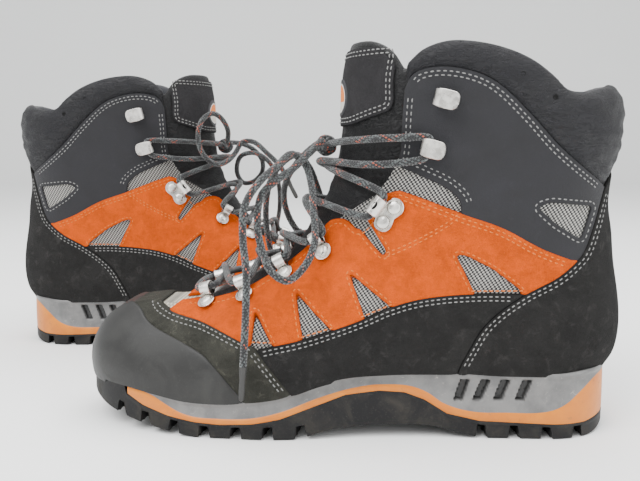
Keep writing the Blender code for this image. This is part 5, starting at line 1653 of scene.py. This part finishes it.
def seam_faces(points, flat, sides):
    """Quads of a tube whose first and last columns meet, with flat coordinates for each corner."""
    count = len(points)
    body = points[:, :sides].reshape(-1, 3)
    faces, corners = [], []
    for row in range(count - 1):
        for k in range(sides):
            n = (k + 1) % sides
            faces.append((row * sides + k, row * sides + n, (row + 1) * sides + n, (row + 1) * sides + k))
            corners.append((flat[row, k], flat[row, k + 1], flat[row + 1, k + 1], flat[row + 1, k]))
    faces += [tuple(range(sides))[::-1], tuple(range((count - 1) * sides, count * sides))]
    ends = [tuple(flat[0, k] for k in range(sides))[::-1], tuple(flat[-1, k] for k in range(sides))]
    return body, faces, corners + ends


def make_tube(boot, name, line, radius=LACE_R):
    """A lace object with its braid coordinates set corner by corner, so that none crosses the seam."""
    points, faces, corners = tube(line, radius)
    obj = boot.make(name, points, faces, LACE, sharp=80)
    layer = obj.data.uv_layers.new(name="flat")
    values = [tuple(p) for face in corners for p in (face[::-1] if boot.flip < 0 else face)]
    layer.data.foreach_set("uv", np.array(values, np.float32).ravel())
    return obj


def smooth_line(route, spacing=0.9):
    keys = np.array(route, float)
    length = np.linalg.norm(np.diff(keys, axis=0), axis=1).sum()
    return spline(keys, int(length / spacing))


def aglet(start, way):
    """The crimped tip of the lace: a tapered sleeve with a pressed waist and a rounded end."""
    heights = [-2.0, -1.8, 0, 3, 5, 6.5, 8, 11]
    heights += [AGLET_LENGTH - back for back in (2.5, 1, 0.3, 0)]
    radii = [1.9, 2.15, 2.1, 1.95, 1.7, 1.62, 1.7, 1.75, 1.7, 1.5, 1.0, 0.3]
    return lathe(start, way, list(zip(radii, heights)), 16)


def knot_line():
    """The knot's own lace: across, then round the middle one and a half times."""
    route = [(-2, -7, 1), (0, -4.5, 2.2), (1.2, -1.5, 4.4)]
    for t in np.linspace(0.25, 1.9, 9):
        angle = math.pi / 2 - t * math.tau
        route.append((4.4 * math.cos(angle), -2.0 + 3.0 * t, 4.4 * math.sin(angle)))
    route += [(0.5, 5.0, -1.5), (-2, 7, 0.5)]
    return smooth_line(np.array(route) * (1, 1.1, 1) + KNOT, 0.8)


def make_laces():
    first, second = held_half(1, True), held_half(-1, False)
    bar = over_ridge(*BAR, LACE_OFF_SKIN)
    held = keep_off(smooth_line(first[::-1] + [bar] + second), LACE_OFF_SKIN)
    core = smooth_line(KNOT + np.array([(-2, 6.5, 1), (0.5, 2.5, -1.0), (0.8, -2.5, 1.0), (-2, -6.5, 1)]))
    for boot in BOTH:
        boot.stands_for(make_tube(boot, "lace_held", held), "lace_held")
        make_tube(boot, "knot_wrap", knot_line())
        make_tube(boot, "knot_core", core)
        for side, route in BOWS[boot.name].items():
            line = smooth_line(route)
            obj = make_tube(boot, f"lace_free_{side}", line)
            boot.stands_for(obj, f"lace_free_{side}")
            way = line[-1] - line[-4]
            way /= np.linalg.norm(way)
            tip = boot.make(f"aglet_{side}", *outward(*aglet(line[-1] - way * 0.2, way)), LACE_TIP)
            boot.stands_for(tip, f"aglet_{side}")
            world = boot.world(line)


# ---------------------------------------------------------------- inside, stage and camera


def finish_cad_nodes():
    """The CAD nodes that stay: insole board and footbed get their materials."""
    for boot in BOTH:
        for node_name, look in (("insole_board", BOARD_LOOK), ("footbed", FOOTBED_CLOTH)):
            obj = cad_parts[f"{boot.name}_{node_name}"]
            obj.data.materials.clear()
            obj.data.materials.append(look.material)


def make_stage():
    """A pale table that turns up into a pale wall behind the boots."""
    turn = np.linspace(0, math.pi / 2, 10)
    profile = [(-5.0, 0.0), (3.0, 0.0)]
    profile += [(3.0 + 0.6 * math.sin(t), 0.6 * (1 - math.cos(t))) for t in turn[1:]]
    profile += [(3.6, 5.0)]
    points = [(x, y, z - 0.0002) for x in (-6.0, 6.0) for y, z in profile]
    n = len(profile)
    faces = [(k, n + k, n + k + 1, k + 1) for k in range(n - 1)]
    mesh = bpy.data.meshes.new("stage")
    mesh.from_pydata(points, [], faces)
    mesh.shade_smooth()
    material = bpy.data.materials.new("pale paper")
    material.use_nodes = True
    shader = material.node_tree.nodes["Principled BSDF"]
    shader.inputs["Base Color"].default_value = (0.93, 0.94, 0.935, 1)
    shader.inputs["Roughness"].default_value = 0.9
    mesh.materials.append(material)
    obj = bpy.data.objects.new("stage", mesh)
    bpy.context.scene.collection.objects.link(obj)


def area_light(name, place, target, size, watts, colour=(1, 1, 1)):
    data = bpy.data.lights.new(name, "AREA")
    data.shape, data.size, data.energy, data.color = "SQUARE", size, watts, colour
    obj = bpy.data.objects.new(name, data)
    obj.location = place
    obj.rotation_euler = (Vector(target) - Vector(place)).to_track_quat("-Z", "Y").to_euler()
    bpy.context.scene.collection.objects.link(obj)


def make_lights():
    area_light("key", (-0.7, -0.9, 1.3), (0, 0, 0.1), 1.2, 35)
    area_light("top", (0.2, 0.1, 1.6), (0, 0, 0.05), 1.6, 33)
    area_light("fill", (1.2, -0.9, 0.6), (0, 0, 0.1), 1.2, 13)
    world = bpy.data.worlds.new("studio")
    world.use_nodes = True
    background = world.node_tree.nodes["Background"]
    background.inputs["Color"].default_value = (1.0, 1.0, 1.0, 1)
    background.inputs["Strength"].default_value = 1.1
    bpy.context.scene.world = world


def make_camera():
    data = bpy.data.cameras.new("camera")
    data.lens, data.sensor_width = CAMERA_LENS, CAMERA_SENSOR
    obj = bpy.data.objects.new("camera", data)
    obj.location = CAMERA_PLACE
    obj.rotation_euler = (math.pi / 2 - CAMERA_DOWN, 0, 0)
    bpy.context.scene.collection.objects.link(obj)
    bpy.context.scene.camera = obj


make_camera()
make_laces()
make_panels()
make_textile()
make_collar()
make_tongue()
make_stitches()
make_outsole()
make_midsole()
make_fittings()
finish_cad_nodes()
make_stage()
make_lights()
